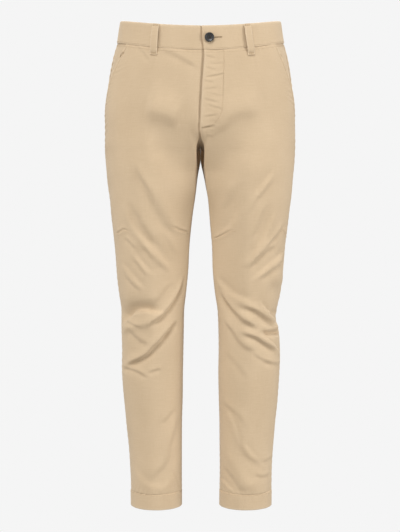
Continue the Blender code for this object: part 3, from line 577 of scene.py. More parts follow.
def beside_path(side, path, reach, turn, drop):
    """Which points lie near a path, the share of it gone at each, and how far below it each lies."""
    trail = smooth_trail(path)
    scale = mm_per_degree(side, trail[:, 1].mean())
    trail = trail * (scale, 1.0)
    low, high = trail.min(axis=0) - reach, trail.max(axis=0) + reach
    across = turn * 180 * scale
    near = (across > low[0]) & (across < high[0]) & (drop > low[1]) & (drop < high[1])
    point = np.stack([across[near], drop[near]], axis=-1)
    step = np.diff(trail, axis=0)
    length = np.linalg.norm(step, axis=1)
    walked = np.concatenate([[0.0], np.cumsum(length)])
    away = point[:, None] - trail[None, :-1]
    part = np.clip((away * step).sum(-1) / length ** 2, 0.0, 1.0)
    away = away - part[..., None] * step
    pick = np.argmin((away ** 2).sum(-1), axis=1)
    row = np.arange(len(pick))
    away = away[row, pick]
    gone = (walked[pick] + part[row, pick] * length[pick]) / walked[-1]
    is_below = away[:, 1] * step[pick, 0] > away[:, 0] * step[pick, 1]
    return near, gone, np.linalg.norm(away, axis=1) * np.where(is_below, 1.0, -1.0)


def press(side, crease, turn, drop, taper=CREASE_TAPER):
    """How far one crease or fold pushes the cloth out."""
    total = np.zeros(turn.shape)
    is_fold = isinstance(crease, Fold)
    reach = CREASE_REACH * (crease.spread if is_fold else max(crease.above, crease.below))
    near, gone, below = beside_path(side, crease.path, reach, turn, drop)
    if not near.any():
        return total
    fade = crease.height * rise(gone, 0, taper) * rise(1.0 - gone, 0, taper)
    if is_fold:
        total[near] = -fade * np.tanh(below / crease.core) * bell(below, crease.spread)
    else:
        total[near] = fade * bell(below, np.where(below > 0, crease.below, crease.above))
    return total


def crease_heights(side, turn, drop):
    """How far all the creases of one side push the cloth out."""
    return sum(press(side, crease, turn, drop) for crease in CREASES[side])


def uneven_wave(along, pitch, phase):
    """Ripples that vary in size and spacing."""
    bend = 1.7 * np.sin(along / (2.9 * pitch) + phase)
    size = 0.62 + 0.38 * np.sin(along / (1.9 * pitch) + 2 * phase)
    return np.sin(math.tau * along / pitch + phase + bend) * size


def puckers(kind, along, away, phase):
    """Ripples along a seam, which die away from it."""
    return kind.height * uneven_wave(along, kind.pitch, phase) * np.exp(-away / kind.reach)


def relief(line, distance):
    """How far a line of relief pushes the cloth out, at a distance from its middle."""
    return line.height * bell(distance, line.width)


def soft_drift(side, across, drop):
    """Shallow unevenness all over the cloth."""
    broad = 0.7 * np.sin(across / 19 + drop / 47 + 2 * side) * np.sin(drop / 71 + side)
    narrow = 0.3 * np.sin(across / 8.5 - drop / 23 + side) * np.sin(drop / 31 + across / 40)
    return broad + narrow


def pocket_share(drop):
    """How much of the pocket mouth lies above a drop."""
    return np.clip((drop - POCKET_TOP_DROP) / (POCKET_END_DROP - POCKET_TOP_DROP), 0.0, 1.0)


def pocket_cut(drop):
    """How far the pocket mouth lies in front of the side seam."""
    return POCKET_TOP_CUT * (1.0 - pocket_share(drop))


def pocket_gape(turn, drop):
    """The mouth of the pocket stands a little away from the hip between its two ends."""
    from_edge = (1.0 - turn) * SIDE_ARC - pocket_cut(drop)
    arch = np.sin(math.pi * pocket_share(drop)) ** 2
    return POCKET_GAPE * arch * bell(from_edge, POCKET_UNDERLAP) * (turn <= 1.0)


def fly_dip(turn, drop):
    """How far the wearer's right side dips on its way under the left one."""
    return LAP_DEPTH * fall(turn * CENTRE_ARC, *LAP_SLOPE) * fall(drop, *LAP_FADE)


def cleft_depth(across, drop):
    """How deep the slit below the fly is, and the cleft between the thighs that it widens into."""
    widening = rise(drop, *CLEFT_OPENS)
    depth = mix(SLIT_DEPTH, CLEFT_DEPTH, widening) * rise(drop, *SLIT_OPENS) * fall(drop, *CLEFT_FADE)
    half_width = mix(SLIT_HALF_WIDTH, CLEFT_HALF_WIDTH, widening)
    return depth * bell(across + SLIT_LEAN * (1.0 - widening), half_width)


def strain_puckers(side, is_front, to_side, drop):
    """Slanting puckers that run in from the side seam, where the cloth is pulled over the hip."""
    strained = rise(drop, *STRAIN_FROM) * fall(drop, *STRAIN_TO)
    strained = strained * mix(STRAIN_AT_SEAM, 1.0, rise(to_side, 0, 20))
    reach = STRAIN_REACH + STRAIN_REACH_SPREAD * np.sin(drop / 9 + 3 * side + is_front)
    pulled = strained * fall(to_side, STRAIN_CORE, STRAIN_CORE + reach)
    slanted = drop + STRAIN_LEAN * to_side
    return STRAIN_HEIGHT * pulled * uneven_wave(slanted, STRAIN_PITCH, 5 * side + is_front)


def edge_distances(points):
    """How far along its row each point lies from the row's start and from its end."""
    steps = np.linalg.norm(np.diff(points, axis=1), axis=-1)
    gone = np.concatenate([np.zeros((len(points), 1)), np.cumsum(steps, axis=1)], axis=1)
    return gone, gone[:, -1:] - gone


def seam_to_seam(count, edge=NEAR_EDGE):
    """Shares of the way from seam to seam, crowded near both."""
    return np.concatenate([edge, np.linspace(edge[-1], 1.0 - edge[-1], count)[1:-1], 1.0 - edge[::-1]])


class Signal:
    """A socket in a material, so that sums on it read as plain sums."""

    def __init__(self, finish, socket):
        self.finish = finish
        self.socket = socket

    def work(self, operation, *values):
        return self.finish.node("Math", {"operation": operation}, dict(enumerate(values)))

    def sine(self):
        return self.work("SINE", self)

    def __add__(self, other):
        return self.work("ADD", self, other)

    def __sub__(self, other):
        return self.work("SUBTRACT", self, other)

    def __rsub__(self, other):
        return self.work("SUBTRACT", other, self)

    def __mul__(self, other):
        return self.work("MULTIPLY", self, other)

    __radd__ = __add__
    __rmul__ = __mul__


class Finish:
    """A material and the nodes in it."""

    def __init__(self, name):
        self.material = bpy.data.materials.new(name)
        self.material.use_nodes = True
        self.tree = self.material.node_tree
        self.shader = self.tree.nodes["Principled BSDF"]

    def node(self, kind, settings, inputs, output=0):
        made = self.tree.nodes.new("ShaderNode" + kind)
        for name, value in settings.items():
            setattr(made, name, value)
        self.feed(made, inputs)
        return Signal(self, made.outputs[output])

    def feed(self, node, inputs):
        for name, value in inputs.items():
            if isinstance(value, Signal):
                self.tree.links.new(value.socket, node.inputs[name])
            else:
                node.inputs[name].default_value = value

    def surface(self, inputs):
        self.feed(self.shader, inputs)

    def place(self):
        return self.node("TexCoord", {}, {}, 3)

    def blend(self, share, first, second):
        return self.node("Mix", {"data_type": "RGBA"}, {0: share, 6: first, 7: second}, 2)

    def noise(self, vector, scale, detail):
        return self.node("TexNoise", {}, {"Vector": vector, "Scale": scale, "Detail": detail})

    def stretch(self, vector, factors):
        return self.node("VectorMath", {"operation": "MULTIPLY"}, {0: vector, 1: factors})

    def bump(self, strength, distance, height):
        return self.node("Bump", {}, {"Strength": strength, "Distance": distance, "Height": height})


# Matt cotton twill: slanting ribs, thicker yarns here and there, a slightly uneven dye, and pale worn edges
TWILL_SHADE = (0.500, 0.372, 0.236, 1.0)
TWILL_LIGHT = (0.650, 0.508, 0.348, 1.0)
TWILL_WORN = (0.690, 0.560, 0.405, 1.0)
twill = Finish("beige_twill")
grain = twill.node("UVMap", {"uv_map": "grain"}, {})
across = twill.node("SeparateXYZ", {}, {0: grain})
along = Signal(twill, across.socket.node.outputs[1])
rib = (across * 5600 + along * 3200).sine()
yarn = (across * 2900 - along * 7400).sine()
weft = twill.noise(twill.stretch(grain, (38, 620, 1)), 1, 2)
warp = twill.noise(twill.stretch(grain, (760, 30, 1)), 1, 2)
place = twill.place()
dye = twill.noise(place, 11, 3)
nap = twill.noise(place, 420, 2)
tone = 0.5 + (weft - 0.5) * 0.42 + (warp - 0.5) * 0.26 + (dye - 0.5) * 0.5 + (nap - 0.5) * 0.22 + rib * 0.05
wear = twill.node("Attribute", {"attribute_name": "wear"}, {}, 2)
twill.surface({
    "Base Color": twill.blend(wear, twill.blend(tone, TWILL_SHADE, TWILL_LIGHT), TWILL_WORN),
    "Roughness": 0.86 + (weft - 0.5) * 0.16,
    "Normal": twill.bump(0.5, 0.00035, rib * 0.30 + yarn * 0.14 + (weft + warp) * 0.55 + nap * 0.5),
    "Sheen Weight": 0.28,
    "Sheen Roughness": 0.45,
    "Sheen Tint": (1.0, 0.93, 0.82, 1.0),
    "Specular IOR Level": 0.22,
})
cloth_faces = {}


def add_piece(name, points, faces, material):
    """A smooth mesh in the shared frame, from points in millimetres. It rides with the trousers."""
    mesh = bpy.data.meshes.new(name)
    mesh.from_pydata((np.array(points) * MM).tolist(), [], faces)
    mesh.shade_smooth()
    mesh.materials.append(material)
    piece = bpy.data.objects.new(name, mesh)
    bpy.context.scene.collection.objects.link(piece)
    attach(piece, "root")
    return piece


def add_cloth(name, outer, thickness, side, wear):
    """A sheet of cloth from a grid of outer points, with its edges rounded over."""
    rows, columns, _ = outer.shape
    normal = unit(-side * np.cross(np.gradient(outer, axis=1), np.gradient(outer, axis=0)))
    index = np.arange(rows * columns).reshape(rows, columns)
    border = np.concatenate([index[0, :-1], index[:-1, -1], index[-1, :0:-1], index[:0:-1, 0]])
    away = np.zeros(outer.shape)
    for end, neighbour in ((0, 1), (-1, -2)):
        away[end] += unit(outer[end] - outer[neighbour])
        away[:, end] += unit(outer[:, end] - outer[:, neighbour])
    away = unit(away.reshape(-1, 3)[border])
    outer_points = outer.reshape(-1, 3)
    inner_points = (outer - thickness * normal).reshape(-1, 3)
    rim = (outer_points[border] + inner_points[border]) / 2 + away * thickness / 2

    count = rows * columns
    cells = np.stack([index[:-1, :-1], index[:-1, 1:], index[1:, 1:], index[1:, :-1]], axis=-1).reshape(-1, 4)
    ring = 2 * count + np.arange(len(border))
    follow, follow_ring = np.roll(border, -1), np.roll(ring, -1)
    outer_rim = np.stack([follow, border, ring, follow_ring], axis=-1)
    inner_rim = np.stack([follow_ring, ring, border + count, follow + count], axis=-1)
    faces = np.concatenate([cells, cells[:, ::-1] + count, outer_rim, inner_rim])
    if side > 0:
        faces = faces[:, ::-1]
    points = np.concatenate([outer_points, inner_points, rim])
    cloth = add_piece(name, points, faces.tolist(), twill.material)

    from_start, from_end = edge_distances(outer)
    grain = np.stack([(from_start - from_end) / 2, BAND_HALF_HEIGHT - outer[..., 2]], axis=-1) * MM
    grain = grain.reshape(-1, 2)
    grain = np.concatenate([grain, grain, grain[border]])
    corners = np.empty(len(cloth.data.loops), np.int32)
    cloth.data.loops.foreach_get("vertex_index", corners)
    layer = cloth.data.uv_layers.new(name="grain")
    layer.data.foreach_set("uv", grain[corners].astype(np.float32).ravel())
    wear = np.broadcast_to(wear, (rows, columns)).reshape(-1)
    wear = np.concatenate([wear, wear * 0, wear[border]]).astype(np.float32)
    cloth.data.attributes.new("wear", "FLOAT", "POINT").data.foreach_set("value", wear)
    cloth_faces[name] = BVHTree.FromPolygons(outer_points.tolist(), cells.tolist()), side
    return cloth


def stepped(values, stages):
    """Values, and after them those of each stage in turn."""
    values = list(values)
    for end, steps in stages:
        values.extend(np.linspace(values[-1], end, steps + 1)[1:])
    return np.array(values, float)


def panel_grid(side, is_front):
    """The turns and drops of a panel's points."""
    levels = stepped([PANEL_TOP_LEVEL], PANEL_ROWS)[:, None]
    share = stepped(NEAR_EDGE, FRONT_COLUMNS if is_front else BACK_COLUMNS)
    share = np.concatenate([share, 1.0 - NEAR_EDGE[-2::-1]])[None, :]
    if is_front:
        start = -fall(levels, *UNDERLAP_FADE) * UNDERLAP / CENTRE_ARC * (side < 0)
        cut_share = np.clip((share - POCKET_FROM_SHARE) / (1.0 - POCKET_FROM_SHARE), 0.0, 1.0)
        turn = start * (1.0 - share) + share - cut_share * pocket_cut(levels) / SIDE_ARC
    else:
        turn = mix(1.0 + BEHIND_SEAM, 2.0, share)
    return np.broadcast_arrays(turn, panel_drop(turn, levels))


def panel_height(side, is_front, turn, drop, smooth):
    """How far the cloth of a panel stands off the smooth form."""
    from_start, from_end = edge_distances(smooth)
    to_centre, to_side = (from_start, from_end) if is_front else (from_end, from_start)
    across = turn * 180 * mm_per_degree(side, drop)
    height = crease_heights(side, turn, drop)
    height += soft_drift(side, across, drop) * rise(to_centre, 0, CALM_MIDDLE)
    sewn_centre = sewn_side = 1.0
    if is_front:
        sewn_centre = rise(drop, *SEWN_BELOW_FLY)
        sewn_side = rise(drop, *SEWN_BELOW_POCKET)
        on_mouth = fall(drop, *MOUTH_FADE)
        height += relief(MOUTH_STITCHES, to_side - STITCH_ROW) * on_mouth
        height += relief(MOUTH_EDGE, to_side - MOUTH_EDGE_PLACE) * on_mouth
        height += pocket_gape(turn, drop) - cleft_depth(smooth[..., 0], drop)
    if is_front and side < 0:
        height -= fly_dip(turn, drop)
    if is_front and side > 0:
        edge = relief(FLY_RIDGE, to_centre) + relief(FLY_ROLL, to_centre)
        height += edge * fall(drop, *FLY_RIDGE_FADE)
        height += press(side, FLY_STITCH_GROOVE, turn, drop, FLY_STITCH_TAPER)
    calm = 1.0 - np.exp(-(((drop - FORK_CALM_DROP) / FORK_CALM_REACH) ** 4))
    height += relief(SEAM_ROLL, to_centre) * sewn_centre * calm + relief(SEAM_ROLL, to_side) * sewn_side
    height += puckers(CENTRE_PUCKERS, drop, to_centre, 2 * side + is_front) * sewn_centre * calm
    height += puckers(SIDE_PUCKERS, drop, to_side, side + is_front) * sewn_side
    height += strain_puckers(side, is_front, to_side, drop)
    under_band = (drop - band_drop(turn, 1.0)).clip(0, None)
    height += puckers(WAIST_PUCKERS, across, under_band, 3 * side + is_front) * rise(under_band, 0, 4)
    height += relief(WAIST_SEAM, under_band) + relief(WAIST_STITCHES, under_band - STITCH_ROW)
    over_hem = HEM_LINE - drop
    height += puckers(ABOVE_HEM_PUCKERS, across + ABOVE_HEM_SLANT * over_hem, over_hem, side + 2 * is_front)
    height += relief(HEM_SEAM, over_hem)
    return height, to_centre, to_side


def worn(from_edge, strength, reach):
    """How worn the cloth is at a distance from its edge."""
    return strength * np.exp(-from_edge / reach)


def add_panel(side, side_name, half):
    """One front or back. In the fork its seam is pressed straight back, so that the two sides don't part."""
    is_front = half == "front"
    turn, drop = panel_grid(side, is_front)
    smooth = garment_point(side, turn, drop)
    height, to_centre, to_side = panel_height(side, is_front, turn, drop, smooth)
    facing = outward_faces(side, turn, drop)
    in_fork = bell(to_centre, FORK_SEAM_WIDTH) * fall(drop, *FORK_PRESSED)
    facing[..., 0] *= 1.0 - in_fork
    points = smooth + height[..., None] * unit(facing)
    wear = worn(np.minimum(to_side, to_centre), *PANEL_WEAR)
    return add_cloth(f"twill_{half}_{side_name}", points, PANEL_CLOTH, side, wear)


PANEL_CUTS = {"front": (0.298, 0.905, 0.193), "back": (0.329, 0.940, 0.198)}
for side, side_name in SIDES:
    for half, (width, length, area) in PANEL_CUTS.items():
        panel = add_panel(side, side_name, half)
        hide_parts(f"{half}_{side_name}")

# Pocket facings
# Behind each slanted pocket mouth lies a piece of the same twill, sewn to the back at the side seam and to
# the waistband above. It closes the pocket and shows as a narrow wedge when the mouth gapes.
FACING_END_DROP = 196
FACING_TUCK = 6
FACING_DEPTH = 2.2
FACING_RIPPLE = 0.15
FACING_RIPPLE_PITCH = 21
FACING_ROWS = 60
FACING_COLUMNS = 34


def cloth_at(side, turn, drop, height):
    """Points that stand off the smooth garment by a height."""
    return garment_point(side, turn, drop) + height[..., None] * outward_faces(side, turn, drop)


for side, side_name in SIDES:
    levels = np.linspace(PANEL_TOP_LEVEL, FACING_END_DROP, FACING_ROWS)[:, None]
    start = 1.0 - (pocket_cut(levels) + POCKET_UNDERLAP) / SIDE_ARC
    turn = mix(start, 1.0 + FACING_TUCK / SIDE_ARC, np.linspace(0.0, 1.0, FACING_COLUMNS))
    drop = panel_drop(turn, levels)
    height = FACING_RIPPLE * uneven_wave(drop, FACING_RIPPLE_PITCH, side) - FACING_DEPTH
    points = cloth_at(side, turn, drop, height)
    facing = add_cloth(f"twill_pocket_facing_{side_name}", points, PANEL_CLOTH, side, 0.0)
    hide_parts(f"pocket_facing_{side_name}")

# Fly placket
# The doubled edge of the wearer's left front: a J-shaped piece of twill behind it, held by the line of
# stitches that shows on the front.
FLY_WIDTH = 40
FLY_TIP = 2
FLY_BOTTOM_DROP = 203
PLACKET_DEPTH = 1.3
PLACKET_CLOTH = 0.8
PLACKET_ROWS = 56
PLACKET_COLUMNS = 16
levels = np.linspace(PANEL_TOP_LEVEL, FLY_BOTTOM_DROP, PLACKET_ROWS)[:, None]
foot = np.clip((levels - FLY_BOTTOM_DROP + FLY_WIDTH) / (FLY_WIDTH + FLY_TIP), 0.0, 1.0)
turn = FLY_WIDTH / CENTRE_ARC * np.sqrt(1.0 - foot ** 2) * np.linspace(0.0, 1.0, PLACKET_COLUMNS)
drop = panel_drop(turn, levels)
points = cloth_at(1, turn, drop, np.minimum(crease_heights(1, turn, drop), 0.0) - PLACKET_DEPTH)
placket = add_cloth("twill_fly_placket", points, PLACKET_CLOTH, 1, 0.0)
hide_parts("fly_placket")

# Waistband
# A stiffened band of doubled twill in two halves that meet at the centre back. The left half laps over the
# right one at the front, and the panels are sewn in between its two layers.
BAND_STAND = 0.2
BAND_CLOTH = 2.3
BAND_UNDERLAP = 36
BAND_OVERLAP_SHARE = 0.012
BAND_EDGE = np.array([0, 0.012, 0.03, 0.055, 0.09])
BAND_ROWS = 14
BAND_COLUMNS = 170
BAND_TOP_ROLL = Relief(-0.55, 0.03)
BAND_SEAM_ROLL = Relief(-0.35, 0.025)
BAND_SWELL = 0.55
BAND_SWELL_PITCH = 41
BAND_SEAM_PUCKERS = Puckering(0.25, 10, 0.16)
BAND_TOP_PUCKERS = Puckering(0.15, 13, 0.14)
BAND_TOP_WEAR = (0.45, 0.05)
BAND_SEAM_WEAR = (0.25, 0.05)
for side, side_name in SIDES:
    start = -BAND_UNDERLAP / CENTRE_ARC if side < 0 else 0.0
    turn = mix(start, 2.0, seam_to_seam(BAND_COLUMNS, NEAR_EDGE / 2))[None, :]
    share = seam_to_seam(BAND_ROWS, BAND_EDGE)[:, None]
    drop = band_drop(turn, share * (1 + BAND_OVERLAP_SHARE))
    along, to_end = edge_distances(garment_point(side, turn, drop))
    swell = np.sin(math.pi * share) * rise(along, 0, 20)
    height = BAND_STAND + BAND_SWELL * uneven_wave(along, BAND_SWELL_PITCH, side) * swell
    height += relief(BAND_TOP_ROLL, share) + relief(BAND_SEAM_ROLL, 1 - share) + relief(SEAM_ROLL, to_end)
    height += puckers(BAND_SEAM_PUCKERS, along, 1 - share, 2 * side)
    height += puckers(BAND_TOP_PUCKERS, along, share, 4 * side)
    height -= fly_dip(turn, drop) * (side < 0)
    wear = worn(share, *BAND_TOP_WEAR) + worn(1 - share, *BAND_SEAM_WEAR)
    points = cloth_at(side, turn, drop, height)
    band = add_cloth(f"twill_waistband_{side_name}", points, BAND_CLOTH, side, wear.clip(0, 0.5))
    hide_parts(f"waistband_{side_name}")
    0.452 if side < 0 else 0.416

# Hems
# Each leg ends in a hem of doubled twill, turned up once and held by one line of stitches all round. The
# seams of the leg run on through it.
HEM_CLOTH = 2.0
HEM_PUFF = 0.35
HEM_TURN_UP = Relief(-0.5, 1.4)
HEM_PUCKERS = Puckering(0.32, 12, 10)
HEM_PUCKER_SLANT = 0.7
HEM_WEAR = (0.5, 1.5)
HEM_WAVE = 0.25
HEM_WAVE_PITCH = 27
HEM_ROWS = np.concatenate([[0.05, 0.7, 1.6, 2.8], np.linspace(4.5, 28.6, 11), [29.5, 29.9]])
HEM_COLUMNS = 150
for side, side_name in SIDES:
    turn = 2.0 * seam_to_seam(HEM_COLUMNS, NEAR_EDGE / 2)[None, :]
    below = HEM_ROWS[:, None]
    turn, drop = np.broadcast_arrays(turn, HEM_LINE + below)
    along, to_end = edge_distances(garment_point(side, turn, drop))
    to_side = np.abs(along - np.interp(1.0, turn[0], along[0]))
    height = crease_heights(side, turn, drop) + HEM_PUFF * rise(below, 0, 4) + relief(HEM_TURN_UP, below)
    height += puckers(HEM_PUCKERS, along - HEM_PUCKER_SLANT * below, below, side)
    height += HEM_WAVE * uneven_wave(along, HEM_WAVE_PITCH, 3 * side) * rise(below, 0, 20)
    height += relief(SEAM_ROLL, along) + relief(SEAM_ROLL, to_end) + relief(SEAM_ROLL, to_side)
    wear = worn(HEM_DROP - drop, *HEM_WEAR)
    hem = add_cloth(f"twill_hem_{side_name}", cloth_at(side, turn, drop, height), HEM_CLOTH, side, wear)
    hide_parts(f"hem_{side_name}")

# Belt loops
# Five straps of folded twill, each sewn down across its two ends, so that it stands off the band between them
# and leaves room for a belt.
BeltLoop = namedtuple("BeltLoop", "name side turn")
BELT_LOOPS = (
    BeltLoop("belt_loop_front_right", -1, 0.441),
    BeltLoop("belt_loop_front_left", 1, 0.444),
    BeltLoop("belt_loop_back_right", -1, 1.42),
    BeltLoop("belt_loop_back_left", 1, 1.42),
    BeltLoop("belt_loop_back_centre", 1, 2.0),
)
LOOP_WIDTH = 12.6
LOOP_TOP_DROP = 0.2
LOOP_LENGTH = 57.6
LOOP_CLOTH = 1.6
LOOP_GAP = 0.15
LOOP_STAND = 3.6
LOOP_ARCH_FROM = 0.05
LOOP_ARCH_TO = 0.92
LOOP_FLATNESS = 0.45
LOOP_SEWN = Relief(-0.5, 0.02)
LOOP_SEWN_AT = (0.045, 0.95)
LOOP_WEAR = (0.5, 0.06)
LOOP_CROWN = 0.25
LOOP_RIPPLE = 0.12
LOOP_RIPPLE_PITCH = 8
near = EDGE_STEPS[:4] / LOOP_WIDTH
strip = np.concatenate([near, np.linspace(0.2, 0.8, 7), 1 - near[::-1]])[None, :]
share = np.linspace(0.0, 1.0, 46)[:, None]
for loop in BELT_LOOPS:
    reach = np.array([-0.01, 0.01])
    ends = garment_point(loop.side, loop.turn + reach, LOOP_TOP_DROP + LOOP_LENGTH / 2)
    turn_per_mm = np.ptp(reach) / np.linalg.norm(ends[1] - ends[0])
    turn = loop.turn + LOOP_WIDTH * turn_per_mm * (strip - 0.5)
    drop = band_drop(turn, 0.0) + LOOP_TOP_DROP + LOOP_LENGTH * share
    over_band = rise(band_drop(turn, 1.0) - drop, -1.5, 1.5)
    arch = np.clip((share - LOOP_ARCH_FROM) / (LOOP_ARCH_TO - LOOP_ARCH_FROM), 0.0, 1.0)
    height = LOOP_CLOTH + LOOP_GAP + BAND_STAND * over_band
    height = height + LOOP_STAND * np.sin(math.pi * arch) ** LOOP_FLATNESS
    height += sum(relief(LOOP_SEWN, share - place) for place in LOOP_SEWN_AT)
    height += LOOP_CROWN * np.sin(math.pi * strip)
    height += LOOP_RIPPLE * uneven_wave(drop, LOOP_RIPPLE_PITCH, loop.turn)
    wear = worn(np.minimum(strip, 1 - strip), *LOOP_WEAR)
    points = cloth_at(loop.side, turn, drop, height)
    strap = add_cloth("twill_" + loop.name, points, LOOP_CLOTH, loop.side, wear)
    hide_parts(loop.name)

# Stitching
# Rows of matching thread lie on the cloth beside its seams. Each stitch is a short bulging bar whose two ends
# go down into the cloth.
THREAD_DARK = (0.330, 0.225, 0.125, 1.0)
THREAD_LIGHT = (0.520, 0.380, 0.235, 1.0)
STITCH_PITCH = 3.1
STITCH_LENGTH = 2.6
THREAD_RADIUS = 0.24
BAR_RINGS = ((-0.5, -0.30, 0.6), (-0.36, 0.06, 1.0), (0.0, 0.17, 1.0), (0.36, 0.06, 1.0), (0.5, -0.30, 0.6))
RING_CORNERS = 6
PATH_STEPS = 24
ROUND_PATH_POINTS = 90
BAND_STITCH_SHARE = 0.955
HEM_STITCH_BELOW = 2.2
DART_STITCH_BELOW = 3.0
UPRIGHT = np.array([0.0, 0.0, 1.0])
thread = Finish("thread")
fuzz = thread.noise(thread.place(), 1800, 2)
thread.surface({
    "Base Color": thread.blend(fuzz, THREAD_DARK, THREAD_LIGHT),
    "Roughness": 0.55 + fuzz * 0.2,
    "Normal": thread.bump(0.4, 0.0001, fuzz),
    "Sheen Weight": 0.15,
})


def on_cloth(names, point):
    """The nearest place on the outer face of some pieces of cloth, and the way that it faces."""
    found = []
    for name in names:
        tree, side = cloth_faces[name]
        found.append((*tree.find_nearest(point), side))
    place, facing, _, _, side = min(found, key=lambda hit: hit[3])
    return np.array(place), -side * np.array(facing)


class Threadwork:
    """Short bars of thread that make up one piece."""

    def __init__(self):
        self.points = []
        self.faces = []

    def add_bar(self, centre, ahead, facing, length, radius):
        facing = unit(facing - ahead * (facing @ ahead))
        beside = np.cross(facing, ahead)
        base = len(self.points)
        for along, lift, girth in BAR_RINGS:
            middle = centre + ahead * along * length + facing * lift
            for corner in range(RING_CORNERS):
                angle = math.tau * corner / RING_CORNERS
                outward = math.cos(angle) * beside + math.sin(angle) * facing
                self.points.append(middle + radius * girth * outward)
        corners = [(base + corner, base + (corner + 1) % RING_CORNERS) for corner in range(RING_CORNERS)]
        last = (len(BAR_RINGS) - 1) * RING_CORNERS
        for ring in range(0, last, RING_CORNERS):
            above = ring + RING_CORNERS
            for here, follow in corners:
                self.faces.append((ring + here, ring + follow, above + follow, above + here))
        self.faces.append(tuple(here for here, _ in reversed(corners)))
        self.faces.append(tuple(last + here for here, _ in corners))


def sew(name, side, cloth, *paths):
    """Rows of stitches on pieces of cloth, as one piece. A path gives turns in degrees and drops."""
    work = Threadwork()
    for path in paths:
        trail = smooth_trail(path, PATH_STEPS)
        rough = garment_point(side, trail[:, 0] / 180, trail[:, 1])
        walked = np.concatenate([[0.0], np.cumsum(np.linalg.norm(np.diff(rough, axis=0), axis=1))])
        count = int(walked[-1] / STITCH_PITCH)
        for number in range(count):
            middle = (number + 0.5) * walked[-1] / count
            ends = []
            for at in (middle - STITCH_LENGTH / 2, middle + STITCH_LENGTH / 2):
                ends.append(on_cloth(cloth, [np.interp(at, walked, rough[:, axis]) for axis in range(3)]))
            (first, first_facing), (second, second_facing) = ends
            centre, _ = on_cloth(cloth, (first + second) / 2)
            facing = first_facing + second_facing
            work.add_bar(centre, unit(second - first), facing, STITCH_LENGTH, THREAD_RADIUS)
    add_piece(name, work.points, work.faces, thread.material)


def round_path(from_turn, to_turn, drop_at):
    """A path round the garment, at the drop that a function gives for each turn."""
    turns = np.linspace(from_turn, to_turn, ROUND_PATH_POINTS)
    return np.stack(np.broadcast_arrays(turns, drop_at(turns / 180)), axis=-1)


mouth_levels = np.linspace(44, 180, 30)
mouth_turns = 1.0 - (pocket_cut(mouth_levels) + STITCH_ROW) / SIDE_ARC
MOUTH_PATH = np.stack([mouth_turns * 180, panel_drop(mouth_turns, mouth_levels)], axis=-1)
UNDER_BAND_PATH = round_path(2, 358, lambda turn: band_drop(turn, 1.0) + STITCH_ROW)
HEM_PATH = round_path(1, 359, lambda turn: HEM_LINE + HEM_STITCH_BELOW)
SEAT_PATH = ((357.0, 48), (357.2, 90), (357.4, 140), (357.4, 190), (357.2, 226))
for side, side_name in SIDES:
    front, back, band, pocket, hem = (
        f"twill_{piece}_{side_name}" for piece in ("front", "back", "waistband", "pocket_facing", "hem")
    )
    band_path = round_path(2 * side, 358, lambda turn: band_drop(turn, BAND_STITCH_SHARE))
    dart_paths = [np.add(trail, (0, DART_STITCH_BELOW)) for trail in KNEE_DARTS[side]]
    sew(f"stitching_under_band_{side_name}", side, [front, pocket, back], UNDER_BAND_PATH)
    sew(f"stitching_waistband_{side_name}", side, [band], band_path)
    sew(f"stitching_hem_{side_name}", side, [hem], HEM_PATH)
    sew(f"stitching_pocket_{side_name}", side, [front], MOUTH_PATH)
    sew(f"stitching_knee_{side_name}", side, [front], *dart_paths)
    sew(f"stitching_seat_{side_name}", side, [back], SEAT_PATH)
sew("stitching_fly", 1, ["twill_front_left"], FLY_STITCH)

# Bar tacks
# Close bars of thread hold the ends of the belt loops, the pocket mouths and the foot of the fly.
TACK_PITCH = 0.55
TACK_BAR = 1.9
TACK_RADIUS = 0.27
LOOP_TACKS = (2.8, LOOP_LENGTH - 3.0)
LOOP_TACK_LENGTH = 10.5
Tack = namedtuple("Tack", "cloth side turn drop slant length")
TACKS = [
    Tack("twill_front_left", 1, 9, 203.5, 12, 18),
    Tack("twill_front_right", -1, 141, 68, 45, 8),
    Tack("twill_front_left", 1, 141, 66, -45, 8),
    Tack("twill_front_right", -1, 176.5, 181, 20, 8),
    Tack("twill_front_left", 1, 176.5, 181, -20, 8),
]
for loop in BELT_LOOPS:
    for at in LOOP_TACKS:
        drop = float(band_drop(loop.turn, 0.0)) + LOOP_TOP_DROP + at
        TACKS.append(Tack("twill_" + loop.name, loop.side, loop.turn * 180, drop, 0, LOOP_TACK_LENGTH))
tacks = Threadwork()
for tack in TACKS:
    centre, facing = on_cloth([tack.cloth], garment_point(tack.side, tack.turn / 180, tack.drop))
    level = unit(np.cross(UPRIGHT, facing))
    slant = math.radians(tack.slant)
    along = math.cos(slant) * level + math.sin(slant) * np.cross(facing, level)
    for offset in np.arange(-tack.length / 2, tack.length / 2, TACK_PITCH):
        spot, _ = on_cloth([tack.cloth], centre + along * offset)
        tacks.add_bar(spot, np.cross(facing, along), facing, TACK_BAR, TACK_RADIUS)
add_piece("bar_tacks", tacks.points, tacks.faces, thread.material)

